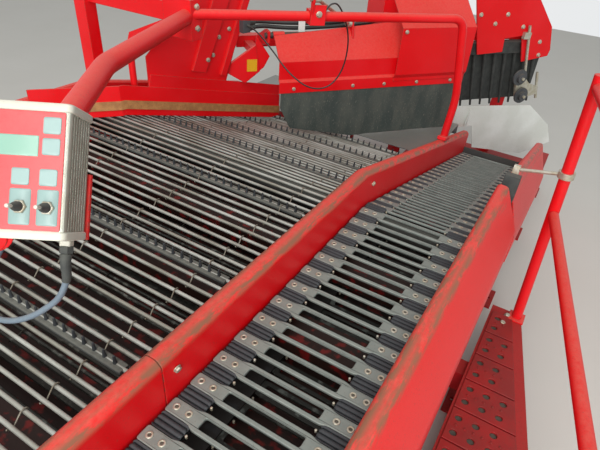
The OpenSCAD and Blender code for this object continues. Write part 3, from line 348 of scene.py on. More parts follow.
def copies(shape, places):
    """The shape at every place: corners in the place's axes plus its origin."""
    corners, faces = shape
    places = np.asarray(places)
    spots = np.einsum("mij,nj->mni", places[:, :, :3], corners) + places[:, None, :, 3]
    starts = np.arange(len(places))[:, None, None] * len(corners)
    return spots.reshape(-1, 3), [(f[None] + starts).reshape(-1, f.shape[1]) for f in faces]


def moved(shape, where):
    """The shape at one place."""
    return copies(shape, [where])


def shell(rows, cols):
    """Faces of a stack of rings: walls between them and a cap at each end."""
    ring = np.arange(cols)
    after = np.roll(ring, -1)
    row = np.arange(rows - 1)[:, None] * cols
    walls = np.stack([row + ring, row + cols + ring, row + cols + after, row + after], -1).reshape(-1, 4)
    return [walls, np.stack([ring, (rows - 1) * cols + ring[::-1]])]


def tube(path, radius, sides=16, up=(0, 0, 1)):
    """Round bar: a circle of the radius at each point, in the plane square to the path there."""
    path = np.asarray(path, float)
    ahead = unit(np.gradient(path, axis=0))
    side = unit(np.cross(ahead, np.array(up, float)))
    top = np.cross(side, ahead)
    turn = 2 * np.pi * np.arange(sides) / sides
    circle = np.cos(turn)[None, :, None] * side[:, None] + np.sin(turn)[None, :, None] * top[:, None]
    reach = np.broadcast_to(np.asarray(radius, float), len(path))[:, None, None]
    return (path[:, None] + reach * circle).reshape(-1, 3), shell(len(path), sides)


def turned(profile, sides):
    """Turned form: each (radius, height) of the profile is a circle about the z axis."""
    r, z = np.array(profile, float).T
    turn = 2 * np.pi * np.arange(sides) / sides
    x, y = r[:, None] * np.cos(turn), r[:, None] * np.sin(turn)
    corners = np.stack([x, y, np.broadcast_to(z[:, None], x.shape)], -1).reshape(-1, 3)
    return corners, shell(len(r), sides)


def bends(before, corner, after, radius, steps):
    """Curves in place of corners: each the parabola (1-t)^2 a + 2t(1-t) corner + t^2 b, where a and b lie a
    radius away from the corner towards the points before and after it."""
    r = np.broadcast_to(np.asarray(radius, float), len(corner))[:, None]
    a = corner + r * unit(before - corner)
    b = corner + r * unit(after - corner)
    t = np.linspace(0, 1, steps)[None, :, None]
    curves = (1 - t) ** 2 * a[:, None] + 2 * t * (1 - t) * corner[:, None] + t ** 2 * b[:, None]
    return curves.reshape(-1, corner.shape[1])


def rounded(points, radius, steps=4):
    """Closed outline with a bend at each corner."""
    p = np.array(points, float)
    return bends(np.roll(p, 1, 0), p, np.roll(p, -1, 0), radius, steps)


def bent(points, radius, steps):
    """Open line with a bend at each corner between its ends."""
    p = np.array(points, float)
    return np.concatenate([p[:1], bends(p[:-2], p[1:-1], p[2:], radius, steps), p[-1:]])


def inset(loop, by):
    """Closed outline drawn in evenly: each corner moves by 2 * by * m / |m|^2, where m is the sum of its
    sides' normals."""
    ahead = unit(np.roll(loop, -1, 0) - loop)
    normal = np.column_stack([-ahead[:, 1], ahead[:, 0]])
    m = normal + np.roll(normal, 1, 0)
    x, y = loop.T
    turns_left = np.sign(np.sum(x * np.roll(y, -1) - y * np.roll(x, -1)))
    return loop + turns_left * 2 * by * m / np.sum(m * m, axis=1, keepdims=True)


def cut_out(loops, low, high, edge):
    """Flat sheet with holes: outline and holes filled with triangles at the foot and the top, walls between,
    and the top's corners cut, which draws the outline in and lets the holes out."""
    rings = [np.asarray(loop, float) for loop in loops]
    drawn = [inset(ring, edge if i == 0 else -edge) for i, ring in enumerate(rings)]
    fill = np.array(tessellate_polygon([[Vector((x, y, 0)) for x, y in ring] for ring in rings]))
    levels = [(rings, low), (rings, high - edge), (drawn, high)]
    n = sum(len(ring) for ring in rings)
    walls, start = [], 0
    for ring in rings:
        i = start + np.arange(len(ring))
        j = start + np.roll(np.arange(len(ring)), -1)
        walls += [np.stack([i, j, j + n, i + n], -1) + level * n for level in range(len(levels) - 1)]
        start += len(ring)
    corners = np.concatenate([np.column_stack([np.concatenate(flat), np.full(n, h)]) for flat, h in levels])
    return corners, [fill, fill[:, ::-1] + n * (len(levels) - 1), np.concatenate(walls)]


def folded(points, radius):
    """Outline of a folded sheet: a bent line, and the same line moved square to itself by the thickness."""
    line = bent(points, radius, 5)
    ahead = unit(np.gradient(line, axis=0))
    return np.concatenate([line, (line + SHEET_T * np.column_stack([-ahead[:, 1], ahead[:, 0]]))[::-1]])


def carried(outline, rows):
    """Bar from an outline in two directions, its corners given by each row's function of them."""
    corners = np.stack([row(outline[:, 0], outline[:, 1]) for row in rows])
    n = len(outline)
    caps = np.array(tessellate_polygon([[Vector((x, y, 0)) for x, y in outline]]))
    walls = shell(len(rows), n)[0]
    return corners.reshape(-1, 3), [walls, caps, caps[:, ::-1] + (len(rows) - 1) * n]


def box(low, high, edge):
    """Block with cut edges: an eight-sided outline, drawn in at both ends."""
    low, high = np.array(low, float), np.array(high, float)
    x0, y0, x1, y1 = low[0], low[1], high[0], high[1]
    ring = np.array([[x0 + edge, y0], [x1 - edge, y0], [x1, y0 + edge], [x1, y1 - edge],
                     [x1 - edge, y1], [x0 + edge, y1], [x0, y1 - edge], [x0, y0 + edge]])
    middle = (low[:2] + high[:2]) / 2
    size = (high[:2] - low[:2]) / 2
    drawn = middle + (ring - middle) * (size - edge) / size
    levels = ((drawn, low[2]), (ring, low[2] + edge), (ring, high[2] - edge), (drawn, high[2]))
    return np.concatenate([np.column_stack([r, np.full(8, z)]) for r, z in levels]), shell(4, 8)


def piece(name, shape, finish, body="table", smooth=True):
    """Object made from a shape in millimetres: faces turned outwards, smooth but for corners over 35
    degrees."""
    corners, faces = shape
    mesh = bpy.data.meshes.new(name)
    mesh.from_pydata((corners * 0.001).tolist(), [], [f.tolist() for block in faces for f in block])
    shaped = bmesh.new()
    shaped.from_mesh(mesh)
    bmesh.ops.remove_doubles(shaped, verts=shaped.verts, dist=1e-6)
    bmesh.ops.recalc_face_normals(shaped, faces=shaped.faces)
    shaped.to_mesh(mesh)
    shaped.free()
    if smooth:
        mesh.shade_smooth()
        mesh.set_sharp_from_angle(angle=np.radians(35))
    mesh.materials.append(finish)
    made = bpy.data.objects.new(name, mesh)
    bpy.context.scene.collection.objects.link(made)
    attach(made, body)
    return made


# Places of the diagonal parts, the sloping section and the terminal
def on_diagonal(c):
    """Frame of the parts parallel to the hood's tube, x along them, c away from the picker."""
    along = np.array([np.cos(DIAGONAL), np.sin(DIAGONAL), 0])
    away = np.array([-np.sin(DIAGONAL), np.cos(DIAGONAL), 0])
    return place(np.append(DIAGONAL_FOOT, 0) + c * away, along, (0, 0, 1))


def down_slope():
    """Frame that turns the level section's places into the sloping section's."""
    normal = np.array([0, np.sin(SLOPE), np.cos(SLOPE)])
    turn = place((0, 0, 0), (1, 0, 0), normal)[:, :3]
    kink = np.array([0, KINK_Y, WEB_Z])
    return np.column_stack([turn, kink - turn @ kink])


def at_terminal():
    """Frame of the terminal: turned to the picker, then tilted back."""
    x = np.array([np.cos(TERMINAL_TURN), np.sin(TERMINAL_TURN), 0])
    y = np.array([-np.sin(TERMINAL_TURN), np.cos(TERMINAL_TURN), 0])
    z = np.cos(TERMINAL_TILT) * np.array([0, 0, 1]) - np.sin(TERMINAL_TILT) * y
    return place(TERMINAL_AT, x, z)


def spot(where, point):
    """A point of a frame in the part's own coordinates."""
    return where[:, :3] @ np.array(point, float) + where[:, 3]


# Cords: the terminal's cable, two hoses and a cable by the hood, at the points of the part's source. The
# terminal's are x, y and z, the others are places along the diagonal, away from the picker, and up. A scratch
# script worked out the points of the hoses and of the hood's cable, along the camera's lines of sight
CABLE_D = 9
CABLE = [[490.6, -501, 1377.2], [494, -506.7, 1367.8], [495.5, -511, 1346], [487.5, -516.5, 1322],
         [474, -521, 1301], [458, -529, 1284], [440, -538, 1268], [419, -547, 1254], [396, -554, 1243],
         [372, -558, 1236], [348, -556, 1233], [325, -548, 1234], [305, -534, 1240], [289, -515, 1250],
         [278, -494, 1263], [272, -474, 1278], [270, -462, 1299]]
HOSE_D = 20
UPPER_HOSE = [[675, 2521, 1200], [700, 2532, 1200], [730.6, 2541, 1198.5], [771.8, 2544, 1196.6],
              [833.3, 2538, 1193.6], [931.7, 2529, 1191.6], [1064.2, 2541, 1187.6], [1180.6, 2555, 1188.6],
              [1305.1, 2572, 1194.6], [1375.3, 2588, 1200.7], [1422.7, 2599, 1206.8], [1441, 2604, 1210],
              [1454.7, 2604, 1210]]
LOWER_HOSE = [[675, 2521, 1174], [700, 2532, 1175], [730.6, 2540, 1175.5], [771.8, 2542, 1175.5],
              [835.3, 2541, 1170], [933.9, 2531, 1167], [1066.7, 2539, 1167], [1183.4, 2548, 1170],
              [1308.2, 2559, 1176.1], [1378.6, 2572, 1180.1], [1419.4, 2586, 1186.1], [1440, 2600, 1189],
              [1454.7, 2600, 1189]]
HOOD_CABLE_D = 7
HOOD_CABLE = [[666, 2498, 1190], [672, 2484, 1189], [682.2, 2466, 1184.8], [697.7, 2440, 1173.9],
              [716.9, 2404, 1154.2], [734, 2360, 1130.6], [753.6, 2315, 1102.6], [781, 2275, 1062.3],
              [807.9, 2245, 1032.3], [839.1, 2225, 1005.5], [871.7, 2212, 983], [910.6, 2204, 968.2],
              [953.6, 2200, 964.2], [993.8, 2196, 975.9], [1024.5, 2192, 1003.4], [1047.2, 2188, 1041.7],
              [1059, 2182, 1086.9], [1062.4, 2175, 1133], [1059.1, 2166, 1180.4], [1048.7, 2156, 1226.7],
              [1033.2, 2145, 1265.4], [1013.6, 2132, 1299.2], [992.2, 2118, 1330.5], [968.2, 2103, 1357.6],
              [942.2, 2086, 1374.8], [913, 2066, 1377], [893, 2051, 1369], [881.6, 2044, 1359]]


def curve_through(points, steps):
    """Smooth line through points: on each span a cubic whose ends follow the neighbouring points."""
    p = np.concatenate([2 * points[:1] - points[1:2], points, 2 * points[-1:] - points[-2:-1]])
    a, b, c, d = p[:-3, None], p[1:-2, None], p[2:-1, None], p[3:, None]
    t = np.linspace(0, 1, steps, endpoint=False)[None, :, None]
    line = b + t * (c - a) / 2 + t ** 2 * (a - 2.5 * b + 2 * c - d / 2) \
        + t ** 3 * (1.5 * (b - c) + (d - a) / 2)
    return np.concatenate([line.reshape(-1, 3), points[-1:]])


def cord(name, node, points, d, rubber, sleeve_rings, side):
    """A cord along its points, and a sleeve where it leaves, whose rings get narrower from the first to
    the last and stand out by turns."""
    line = curve_through(np.array(points, float), 5)
    made = piece(name, tube(line, d / 2, 16, side), rubber)
    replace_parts(made, node)
    reach = d / 2 + np.linspace(0.36 * d, 0.1 * d, sleeve_rings) + 0.06 * d * (np.arange(sleeve_rings) % 2)
    sleeve = piece(name + "_sleeve", tube(line[:sleeve_rings], reach, 16, side), black_rubber)


def cords():
    cord("terminal_cable", "terminal_cord", CABLE, CABLE_D, cord_rubber, 12,
         (0.6, 0.8, 0))
    across = (np.sin(DIAGONAL), -np.cos(DIAGONAL), 0.3)
    for node, ending, points, d, stiffness, side in (
            ("upper_hose", "_rubber", UPPER_HOSE, HOSE_D, "stiff", (0, 0, 1)),
            ("lower_hose", "_rubber", LOWER_HOSE, HOSE_D, "stiff", (0, 0, 1)),
            ("hood_cable", "_sheath", HOOD_CABLE, HOOD_CABLE_D, "medium", across)):
        route = [spot(on_diagonal(0), point) for point in points]
        cord(node + ending, node, route, d, hose_rubber, 8, side)


cords()


# Loops of the webs
def loop_at(surface_r, slope_l, r, s):
    """Places round a kinked loop at distances s: four straights and an arc about each of the three roller
    axes. Each place has y and z from its axis, its turn and the distance gone, and the frame turned by it."""
    flat = KINK_Y - surface_r * np.tan(SLOPE / 2) - NEAR_Y
    near = np.array([NEAR_Y, WEB_Z - surface_r])
    bend = near + [flat, 0]
    far = bend + slope_l * np.array([np.cos(SLOPE), -np.sin(SLOPE)])
    cut = r * np.tan(SLOPE / 2)
    ends = np.cumsum([flat, r * SLOPE, slope_l, np.pi * r, slope_l - cut, flat - cut, np.pi * r])
    s = np.asarray(s, float) % ends[-1]
    span = np.searchsorted(ends, s, side="right")
    gone = s - np.concatenate([[0], ends])[span]
    centre = np.array([near, bend, bend, far, far, near, near])[span]
    # The underside runs back: its straights are measured from the roller they leave or reach
    start = np.array([0, 0, 0, 0, 0, -(flat - cut), 0])[span]
    first_turn = np.array([0, 0, -SLOPE, -SLOPE, -SLOPE - np.pi, -np.pi, -np.pi])[span]
    is_arc = np.array([0, 1, 0, 1, 0, 0, 1])[span]
    turn = first_turn - is_arc * gone / r
    ahead = (1 - is_arc) * (gone + start)
    cos, sin = np.cos(turn), np.sin(turn)
    y = centre[:, 0] - r * sin + ahead * cos
    z = centre[:, 1] + r * cos + ahead * sin
    places = np.zeros((len(s), 3, 4))
    places[:, 0, 0] = 1
    places[:, 1:, 1:] = np.stack([cos, -sin, y, sin, cos, z], -1).reshape(-1, 2, 3)
    return places, ends[-1]


def belt(surface_r, slope_l, r, x0, x1, thick):
    """Closed belt: a rectangle at steps of about 8 mm round the loop, each joined to the next and the last to
    the first."""
    length = loop_at(surface_r, slope_l, r, [0])[1]
    n = int(length / 8)
    places = loop_at(surface_r, slope_l, r, np.arange(n) * length / n)[0]
    section = np.array([[x0, 0, -thick], [x1, 0, -thick], [x1, 0, 0], [x0, 0, 0]], float)
    i = np.arange(n)[:, None] * 4
    j = (np.roll(np.arange(n), -1) * 4)[:, None]
    k = np.arange(4)
    after = np.roll(k, -1)
    walls = np.stack([i + k, i + after, j + after, j + k], -1).reshape(-1, 4)
    return copies((section, []), places)[0], [walls]


# Main web: round rods in two belts, rubber flights with fingers, and the hooks that hold the rods apart
def main_web():
    loop = loop_at(MAIN_SURFACE_R, MAIN_SLOPE_L, MAIN_R, [0])[1]
    count = round(loop / ROD_PITCH)
    step = loop / count
    rods = loop_at(MAIN_SURFACE_R, MAIN_SLOPE_L, MAIN_R, np.arange(count) * step)[0]
    rod = tube([[RODS[0] + 8, 0, 0], [RODS[1] - 8, 0, 0]], ROD_D / 2, 12)
    made = piece("main_web_rods", copies(rod, rods), worn_steel)
    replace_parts(made, "main_web")
    belts = merged(*(belt(MAIN_SURFACE_R, MAIN_SLOPE_L, MAIN_R + BELT_T / 2, x, x + BELT_W, BELT_T)
                     for x in (RODS[0], RODS[1] - BELT_W)))
    piece("main_web_belts", belts, black_rubber, smooth=False)
    # A flight is a flat strip moulded round its rod, with a row of tapered fingers
    finger_pitch, half_w = 35.0, 15.0
    low_x, high_x = RODS[0] + BELT_W + 12, RODS[1] - BELT_W - 12
    outline = rounded([[-half_w, -6], [half_w, -6], [half_w, 3], [half_w - 3, 5], [3 - half_w, 5],
                       [-half_w, 3]], 1.5, 3)
    ends = ((low_x, 0.85), (low_x + 3, 1), (high_x - 3, 1), (high_x, 0.85))
    strip = carried(outline, [lambda y, z, x=x, k=k: np.stack([np.full(len(y), x), y * k, z * k], -1)
                              for x, k in ends])
    finger = turned([(6.2, 3), (5.3, 6), (4.2, 16), (3.4, 26), (2.4, 28.4), (0.8, 29)], 8)
    row = [unturned(x) for x in np.arange(low_x + 12, high_x - 8, finger_pitch)]
    on_rods = loop_at(MAIN_SURFACE_R, MAIN_SLOPE_L, MAIN_R, np.round(np.array(FLIGHTS) / step) * step)[0]
    piece("main_web_flights", copies(strip, on_rods), flight_rubber)
    piece("main_web_fingers", copies(copies(finger, row), on_rods), block_rubber)
    # Hook of wire from over one rod to under the next, on every second rod in three rows
    hook = np.array([[0, 8.5, 1], [0, 6.2, 6], [0, 0.5, 8.4], [1, -8, 7], [4, -step / 2, 0],
                     [7, 8 - step, -7], [8, -step, -8.4], [8, -step - 6, -6], [8, -step - 8.5, -1]])
    hooks = [copies(tube(hook + [x, 0, 0], 2.0, 6, (1, 0, 0)), rods[::2]) for x in (225, -140, -520)]
    piece("main_web_hooks", merged(*hooks), hook_wire)


# Narrow web: forged slats with two bars each, riveted to rubber belts with ribbed blocks between the slats
def narrow_web():
    loop = loop_at(NARROW_R, NARROW_SLOPE_L, NARROW_R, [0])[1]
    count = round(loop / SLAT_PITCH)
    step = loop / count
    places = loop_at(NARROW_R, NARROW_SLOPE_L, NARROW_R, np.arange(count) * step)[0]
    half = step / 4 + SLAT_BAR_W / 2
    inner = step / 4 - SLAT_BAR_W / 2
    tab, wide, long = SLAT_TAB, SLAT_TAB_W / 2, SLATS[1] - SLATS[0]
    edge = [[0, wide], [tab - 18, wide], [tab, half], [long - tab, half], [long - tab + 18, wide],
            [long, wide]]
    outline = rounded(edge + [[x, -y] for x, y in edge[::-1]], [7, 9, 9, 9, 9, 7] * 2)
    near, far = tab + 8, long - tab - 8
    hole = rounded([[near, inner], [near, -inner], [far, -inner], [far, inner]], 6)
    slat = moved(cut_out([outline, hole], -SLAT_T, 0, 1.6), unturned(SLATS[0]))
    made = piece("narrow_web_slats", copies(slat, places), slat_steel, smooth=False)
    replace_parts(made, "narrow_web")
    # Rivets: a rolled ring round a sunk middle, dark as painted shade in the rivet's hollow
    ring = turned([(8.6, -0.3), (8.6, 1.0), (7.6, 2.0), (6.0, 2.2), (4.4, 1.5), (3.9, 0.2)], 14)
    middle = turned([(4.4, -0.2), (4.4, 0.7), (3.2, 1.0), (0.8, 1.0)], 8)
    across_belts = [unturned(x) for x in (SLATS[0] + 20, SLATS[0] + 54, SLATS[1] - 54, SLATS[1] - 20)]
    piece("narrow_web_rivets", copies(copies(ring, across_belts), places), zinc)
    piece("narrow_web_rivet_hole_shade", copies(copies(middle, across_belts), places), dark_steel)
    # Blocks: three rounded ribs across the belt, as a wave over the gap between two tabs
    half_gap = (step - SLAT_TAB_W - 3) / 2
    across = np.linspace(-half_gap, half_gap, 25)
    wave = -8.4 + 7.6 * np.abs(np.cos(1.5 * np.pi * across / half_gap + 0.5 * np.pi)) ** 0.45
    ribs = np.concatenate([[[-half_gap, -11.5]], np.column_stack([across, wave]), [[half_gap, -11.5]]])
    ends = ((0, 0.82), (4, 1.0), (tab - 12, 1.0), (tab - 7, 0.82))
    block = carried(ribs, [lambda y, z, x=x, k=k: np.stack([np.full(len(y), x), y * k,
                                                            z * k - 11 * (1 - k)], -1) for x, k in ends])
    sides = [unturned(SLATS[0] + 1, step / 2), place((SLATS[1] - 1, step / 2, 0), (-1, 0, 0), (0, 0, 1))]
    blocks = copies(copies(block, sides), places)
    belts = [belt(NARROW_R, NARROW_SLOPE_L, NARROW_R - SLAT_T - 0.3, x, x + tab - 8, 8.5)
             for x in (SLATS[0] + 2, SLATS[1] - tab + 6)]
    piece("narrow_web_belts", merged(blocks, *belts), block_rubber, smooth=False)
    # A bright pin at the inner end of each block
    pin = turned([(3.2, -10), (3.2, -2.4), (2.4, -1.6), (0.8, -1.4)], 8)
    pin_ends = [unturned(x, step / 2) for x in (SLATS[0] + tab, SLATS[1] - tab)]
    piece("narrow_web_pins", copies(copies(pin, pin_ends), places), zinc)


main_web()
narrow_web()


# Folded sheets: divider and right wall with rounded folds
def level(y, skew=0.0, x0=0.0):
    """Row of a sheet in the level section at y, cut askew by so much per millimetre of x."""
    return lambda x, z: np.stack([x, y - skew * (x - x0), z], -1)


def sloping(y):
    """Row of a sheet in the sloping section."""
    frame_at = down_slope()
    return lambda x, z: np.stack([x, np.full(len(x), y), z], -1) @ frame_at[:, :3].T + frame_at[:, 3]


def at_kink():
    """Row in the plane in which the sheets bend, half of the slope from upright."""
    def row(x, z):
        h = (z - WEB_Z) / np.cos(SLOPE / 2)
        return np.stack([x, KINK_Y + h * np.sin(SLOPE / 2), WEB_Z + h * np.cos(SLOPE / 2)], -1)
    return row


def divider():
    (left, right), top, foot = DIVIDER_X, WEB_Z + DIVIDER_H, WEB_Z - 32
    joint, far_end = (-341, -339.4), 2396
    outline = folded([[right, foot], [right, top - 15], [right - 15, top], [left + 15, top], [left, top - 15],
                      [left, foot]], 7)
    for end, rows in (("near", [level(NEAR_END), level(joint[0])]),
                      ("far", [level(joint[1]), at_kink(), sloping(far_end)])):
        made = piece(f"divider_{end}_cap", carried(outline, rows), divider_paint)
        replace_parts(made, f"divider_{end}")


def right_wall():
    inner, outer, foot = 850, 960, 650
    skew = np.tan(np.radians(15))
    for end, h, rows in (("near", 118, [level(NEAR_END), level(905, skew, inner)]),
                         ("far", 160, [sloping(1000), sloping(2480)])):
        outline = folded([[outer, WEB_Z - 140], [outer, WEB_Z - 30], [888, WEB_Z + h + 2], [858, WEB_Z + h],
                          [inner, WEB_Z + h - 8], [inner, foot]], [14, 10, 6, 4])
        made = piece(f"right_wall_{end}_sheet", carried(outline, rows), wall_paint)
        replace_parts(made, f"right_wall_{end}")


divider()
right_wall()


# Terminal: fluted aluminium body between two caps, face film, display, keys and two toggle switches
def terminal():
    def fitted(name, shape, finish):
        return piece(name, moved(shape, at_terminal()), finish)
    w, h, d, cap_h = 155, 170, 72, 11
    rib = np.array([[w / 2 - 2.2, 0], [w / 2 - 2.2, 4.4], [w / 2 - 5.4, 4.9], [w / 2 - 5.4, 7.2]])
    right = (rib + np.array([0, 1]) * (6 + 7.6 * np.arange(8))[:, None, None]).reshape(-1, 2)
    front = [[-w / 2 + 8, 0.5], [w / 2 - 8, 0.5], [w / 2 - 3.4, 3]]
    body = np.concatenate([front, right, [[w / 2 - 5, d - 1], [-w / 2 + 5, d - 1]],
                           right[::-1] * [-1, 1], [[-w / 2 + 3.4, 3]]])
    low, high = -h / 2 + cap_h, h / 2 - cap_h
    case = carried(body, [lambda x, y, z=z: np.stack([x, y, np.full(len(x), z)], -1) for z in (low, high)])
    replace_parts(fitted("terminal_body", case, aluminium), "terminal_case")
    ring = rounded([[-w / 2, 0], [w / 2, 0], [w / 2, d], [-w / 2, d]], 9, 5)

    def drawn_in(x, middle, k):
        return middle + (x - middle) * k

    def cap(z0, z1):
        levels = ((z0, 0.975), (z0 + 1.5, 1.0), (z1 - 1.5, 1.0), (z1, 0.975))
        return carried(ring, [lambda x, y, z=z, k=k: np.stack([x * k, drawn_in(y, d / 2, k),
                                                                np.full(len(x), z)], -1) for z, k in levels])
    boss = box((55, 36, -h / 2 - 9), (69, 50, -h / 2), 1.5)
    fitted("terminal_caps", merged(cap(-h / 2, low), cap(high, h / 2), boss), terminal_white)
    gland = turned([(5, -19), (8.5, -18), (9.5, -16), (9.5, -9.5), (8, -8)], 6)
    fitted("terminal_gland", moved(gland, unturned(62, 43, -h / 2)), black_rubber)

    # Face: plates lie on it, each a rounded outline a little raised
    def plate(x0, z0, x1, z1, raise_by, corner, base):
        loop = rounded([[x0, z0], [x1, z0], [x1, z1], [x0, z1]], corner, 5)
        levels = ((base, 1), (base - raise_by * 0.7, 1), (base - raise_by, 0.97))
        middle_x, middle_z = (x0 + x1) / 2, (z0 + z1) / 2
        return carried(loop, [lambda x, z, y=y, k=k: np.stack([drawn_in(x, middle_x, k), np.full(len(x), y),
                                                                drawn_in(z, middle_z, k)], -1)
                              for y, k in levels])
    fitted("terminal_face", plate(-70.5, low + 0.3, 70.5, high - 0.3, 1.0, 2.5, 0.6), face_film)
    fitted("terminal_display", plate(-39.5, 17.5, 39.5, 43.4, 0.5, 1.5, -0.3), display)
    keys = [(sx * 54.7, z) for sx in (-1, 1) for z in (56.5, 30.4)]
    keys += [(sx * x, -7.8) for sx in (-1, 1) for x in (19.5, 53.4)]
    switches = [(sx * x, -45) for sx in (-1, 1) for x in (20.6, 54.2)]
    pads = [plate(x - 11, z - 10.6, x + 11, z + 10.6, 0.9, 3, -0.3) for x, z in keys]
    pads += [plate(x - 13.2, z - 22.5, x + 13.2, z + 22.5, 0.35, 3, -0.3) for x, z in switches]
    fitted("terminal_keys", merged(*pads), key_film)
    nut = turned([(9, 0), (9, 3.2), (8, 4.2), (5.5, 4.2)], 6)
    boot = turned([(6.4, 3.6), (6.4, 8), (5.2, 13), (3.6, 17), (3.1, 19.5)], 18)
    lever = turned([(2.2, 18), (2.2, 24), (2.8, 27), (2.4, 29.5), (1.2, 30.2)], 14)
    spots = [place((x, -0.6, z), (1, 0, 0), (0, -1, 0)) for x, z in switches]
    fitted("switch_nuts", copies(nut, spots), zinc)
    fitted("switch_boots", copies(boot, spots), black_rubber)
    fitted("switch_levers", copies(lever, spots), terminal_white)


terminal()


# Hood's rubber curtain, hung from the flange
def curtain():
    """Sheet on a grid of u along the hood and t from its top to its foot. Three sines of u and t make shallow
    waves, 0 at the top and deeper towards the foot, and a rim joins the sheet's front to its back."""
    top, left, right, half_t = 932, 814, 1906, 4
    u = np.linspace(left, right, 110)
    foot = np.interp(u, [left, 870, 1230, 1870, right], [800, 688, 614, 614, 760])
    t = np.linspace(0, 1, 26)
    uu, tt = np.meshgrid(u, t, indexing="ij")
    z = top + (foot[:, None] - top) * tt
    wave = 3.2 * np.sin(uu / 61) * np.sin(uu / 173 + 1) + 1.6 * np.sin(uu / 23 + 3 * tt)
    y = -half_t - wave * tt ** 1.2
    front = np.stack([uu, y - half_t, z], -1).reshape(-1, 3)
    back = np.stack([uu, y + half_t, z], -1).reshape(-1, 3)
    n, m = uu.shape
    i = (np.arange(n - 1)[:, None] * m + np.arange(m - 1)).reshape(-1)
    quads = np.stack([i, i + m, i + m + 1, i + 1], -1)
    rim = np.concatenate([np.arange(m), np.arange(1, n) * m + m - 1, (n - 1) * m + np.arange(m - 2, -1, -1),
                          np.arange(n - 2, 0, -1) * m])
    after = np.roll(rim, -1)
    edge = np.stack([rim, after, after + n * m, rim + n * m], -1)
    sheet = (np.concatenate([front, back]), [quads, quads[:, ::-1] + n * m, edge])
    made = piece("rubber_curtain", moved(sheet, on_diagonal(HOOD_C)), curtain_rubber, "hood")
    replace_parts(made, "curtain")


curtain()

# Tube that carries the hood's stay, bent down to its foot on the divider: places along it and up
TUBE_D, TUBE, TUBE_FOOT_U = 40, [(310, 1342), (1598, 1310), (1668, 915)], 1650


def hood_tube():
    """Round tube along a bent line, and its shoe on the divider's top, which slopes with the webs."""
    where = on_diagonal(TUBE_C)
    foot = spot(where, (TUBE_FOOT_U, 0, 0))
    foot[2] = WEB_Z + (DIVIDER_H - (foot[1] - KINK_Y) * np.sin(SLOPE)) / np.cos(SLOPE)
    line = bent([spot(where, (u, 0, z)) for u, z in TUBE] + [foot + [0, 0, 14]], 60, 9)
    round_bar = tube(line, TUBE_D / 2, 28, (np.sin(DIAGONAL), -np.cos(DIAGONAL), 0))
    on_divider = place(foot, (1, 0, 0), (0, np.sin(SLOPE), np.cos(SLOPE)))
    shoe = moved(box((-24, -45, 0), (24, 45, 22), 3), on_divider)
    made = piece("hood_tube_bent", merged(round_bar, shoe), red_paint)
    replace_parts(made, "hood_tube")


# Bolts: [x, y, z] on a face, the way the face looks, and the thread's diameter
def bolt(d):
    """Flanged bolt in shares of its thread's diameter: a domed flange under a six-sided head."""
    flange = turned([(1.15 * d, -0.1 * d), (1.15 * d, 0.1 * d), (0.85 * d, 0.28 * d)], 16)
    head = turned([(0.92 * d, 0.2 * d), (0.92 * d, 0.72 * d), (0.78 * d, 0.84 * d), (0.12 * d, 0.84 * d)], 6)
    return merged(flange, head)


def bolts():
    away = np.array([np.sin(DIAGONAL), -np.cos(DIAGONAL), 0])
    far_guide = np.array([920, -245, 0])

    def on_plane(c, d, points):
        return [(spot(on_diagonal(c), (u, 0, z)), away, d) for u, z in points]
    rows = {
        "hood": on_plane(FLANGE_C, 8.5, [(u, 906) for u in (879, 1215, 1404, 1609, 1831)])
        + on_plane(COVER_C, 9.5, [(1479, 1182), (1823, 1182)]),
        "table": on_plane(TUBE_C - 34, 12, [(848, 1343)])
        + on_plane(PLATE_C, 12, [(2124, 1205), (2245, 1152), (2322, 1206), (2466, 1131), (2638, 1035),
                                 (2662, 951)])
        + [(p, far_guide, 10) for p in ((-603, 1167, 1143), (-613, 1130, 1063), (-608, 1086, 1050),
                                        (-587, 1226, 1174))]
        + [((-385, 768, z), (1, 0, 0), 11) for z in (1290, 1370)]
        + [((DIVIDER_X[1], y, z), (1, 0, 0), 9) for y, z in ((-300, 920), (730, 905))]
        + [((x, y, FLOOR_Z), (0, 0, 1), 13) for x, y in ((1048, 1120), (1040, 1060))],
    }
    for body, heads in rows.items():
        shapes = [moved(bolt(d), place(at, (0.3, 0.2, 0.9) if looks[2] == 0 else (1, 0, 0), looks))
                  for at, looks, d in heads]
        piece(body + "_bolts", merged(*shapes), zinc, body)
    pin = turned([(1, -4), (10, -4), (10, 0), (6.5, 0.5), (6.5, 38), (9, 38.5), (9, 43), (1, 43)], 16)
    along = (np.cos(DIAGONAL), np.sin(DIAGONAL), 0)
    ends = [place(spot(on_diagonal(c), (u, 0, z)), (0, 0, 1), along) for u, c, z in
            ((806, TUBE_C - 40, 1404), (1198, TUBE_C + 430, 1192))]
    piece("stay_pins", copies(pin, ends), zinc)
    # Moulded clip that keeps the two hoses together
    clip = rounded([[-18, -30], [18, -30], [18, 30], [-18, 30]], 5, 4)
    clip = moved(cut_out([clip], -3, 3, 1.0), place(spot(on_diagonal(2512), (955, 0, 1178)), along, away))
    piece("hose_clip", clip, white_plastic)


# Control arm: a bent tube inside the space of its thicker solid, from the bracket to the terminal
ARM_D, ARM_Z = 60, 1332
ARM = [(-416, 742), (-184, 147), (300, -500)]


def control_arm():
    """Round tube along two straights and their elbow, its end run 12 mm on into the terminal's mount."""
    p = np.array([(x, y, ARM_Z) for x, y in ARM], float)
    line = bent(p, 30, 7)
    line[-1] += 12 * unit(p[2] - p[1])
    made = piece("control_arm_tube", tube(line, ARM_D / 2, 36), red_paint)
    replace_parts(made, "control_arm")


# Tread of the platform: planks with rows of holes on the red floor, as far as its slanted edge
PLATFORM_EDGE = [[1600, -995], [1578, -800], [1255, 489], [1112, 1110]]
FLOOR_Z, PLANK_PITCH, PLANK_T = 250, 150, 7


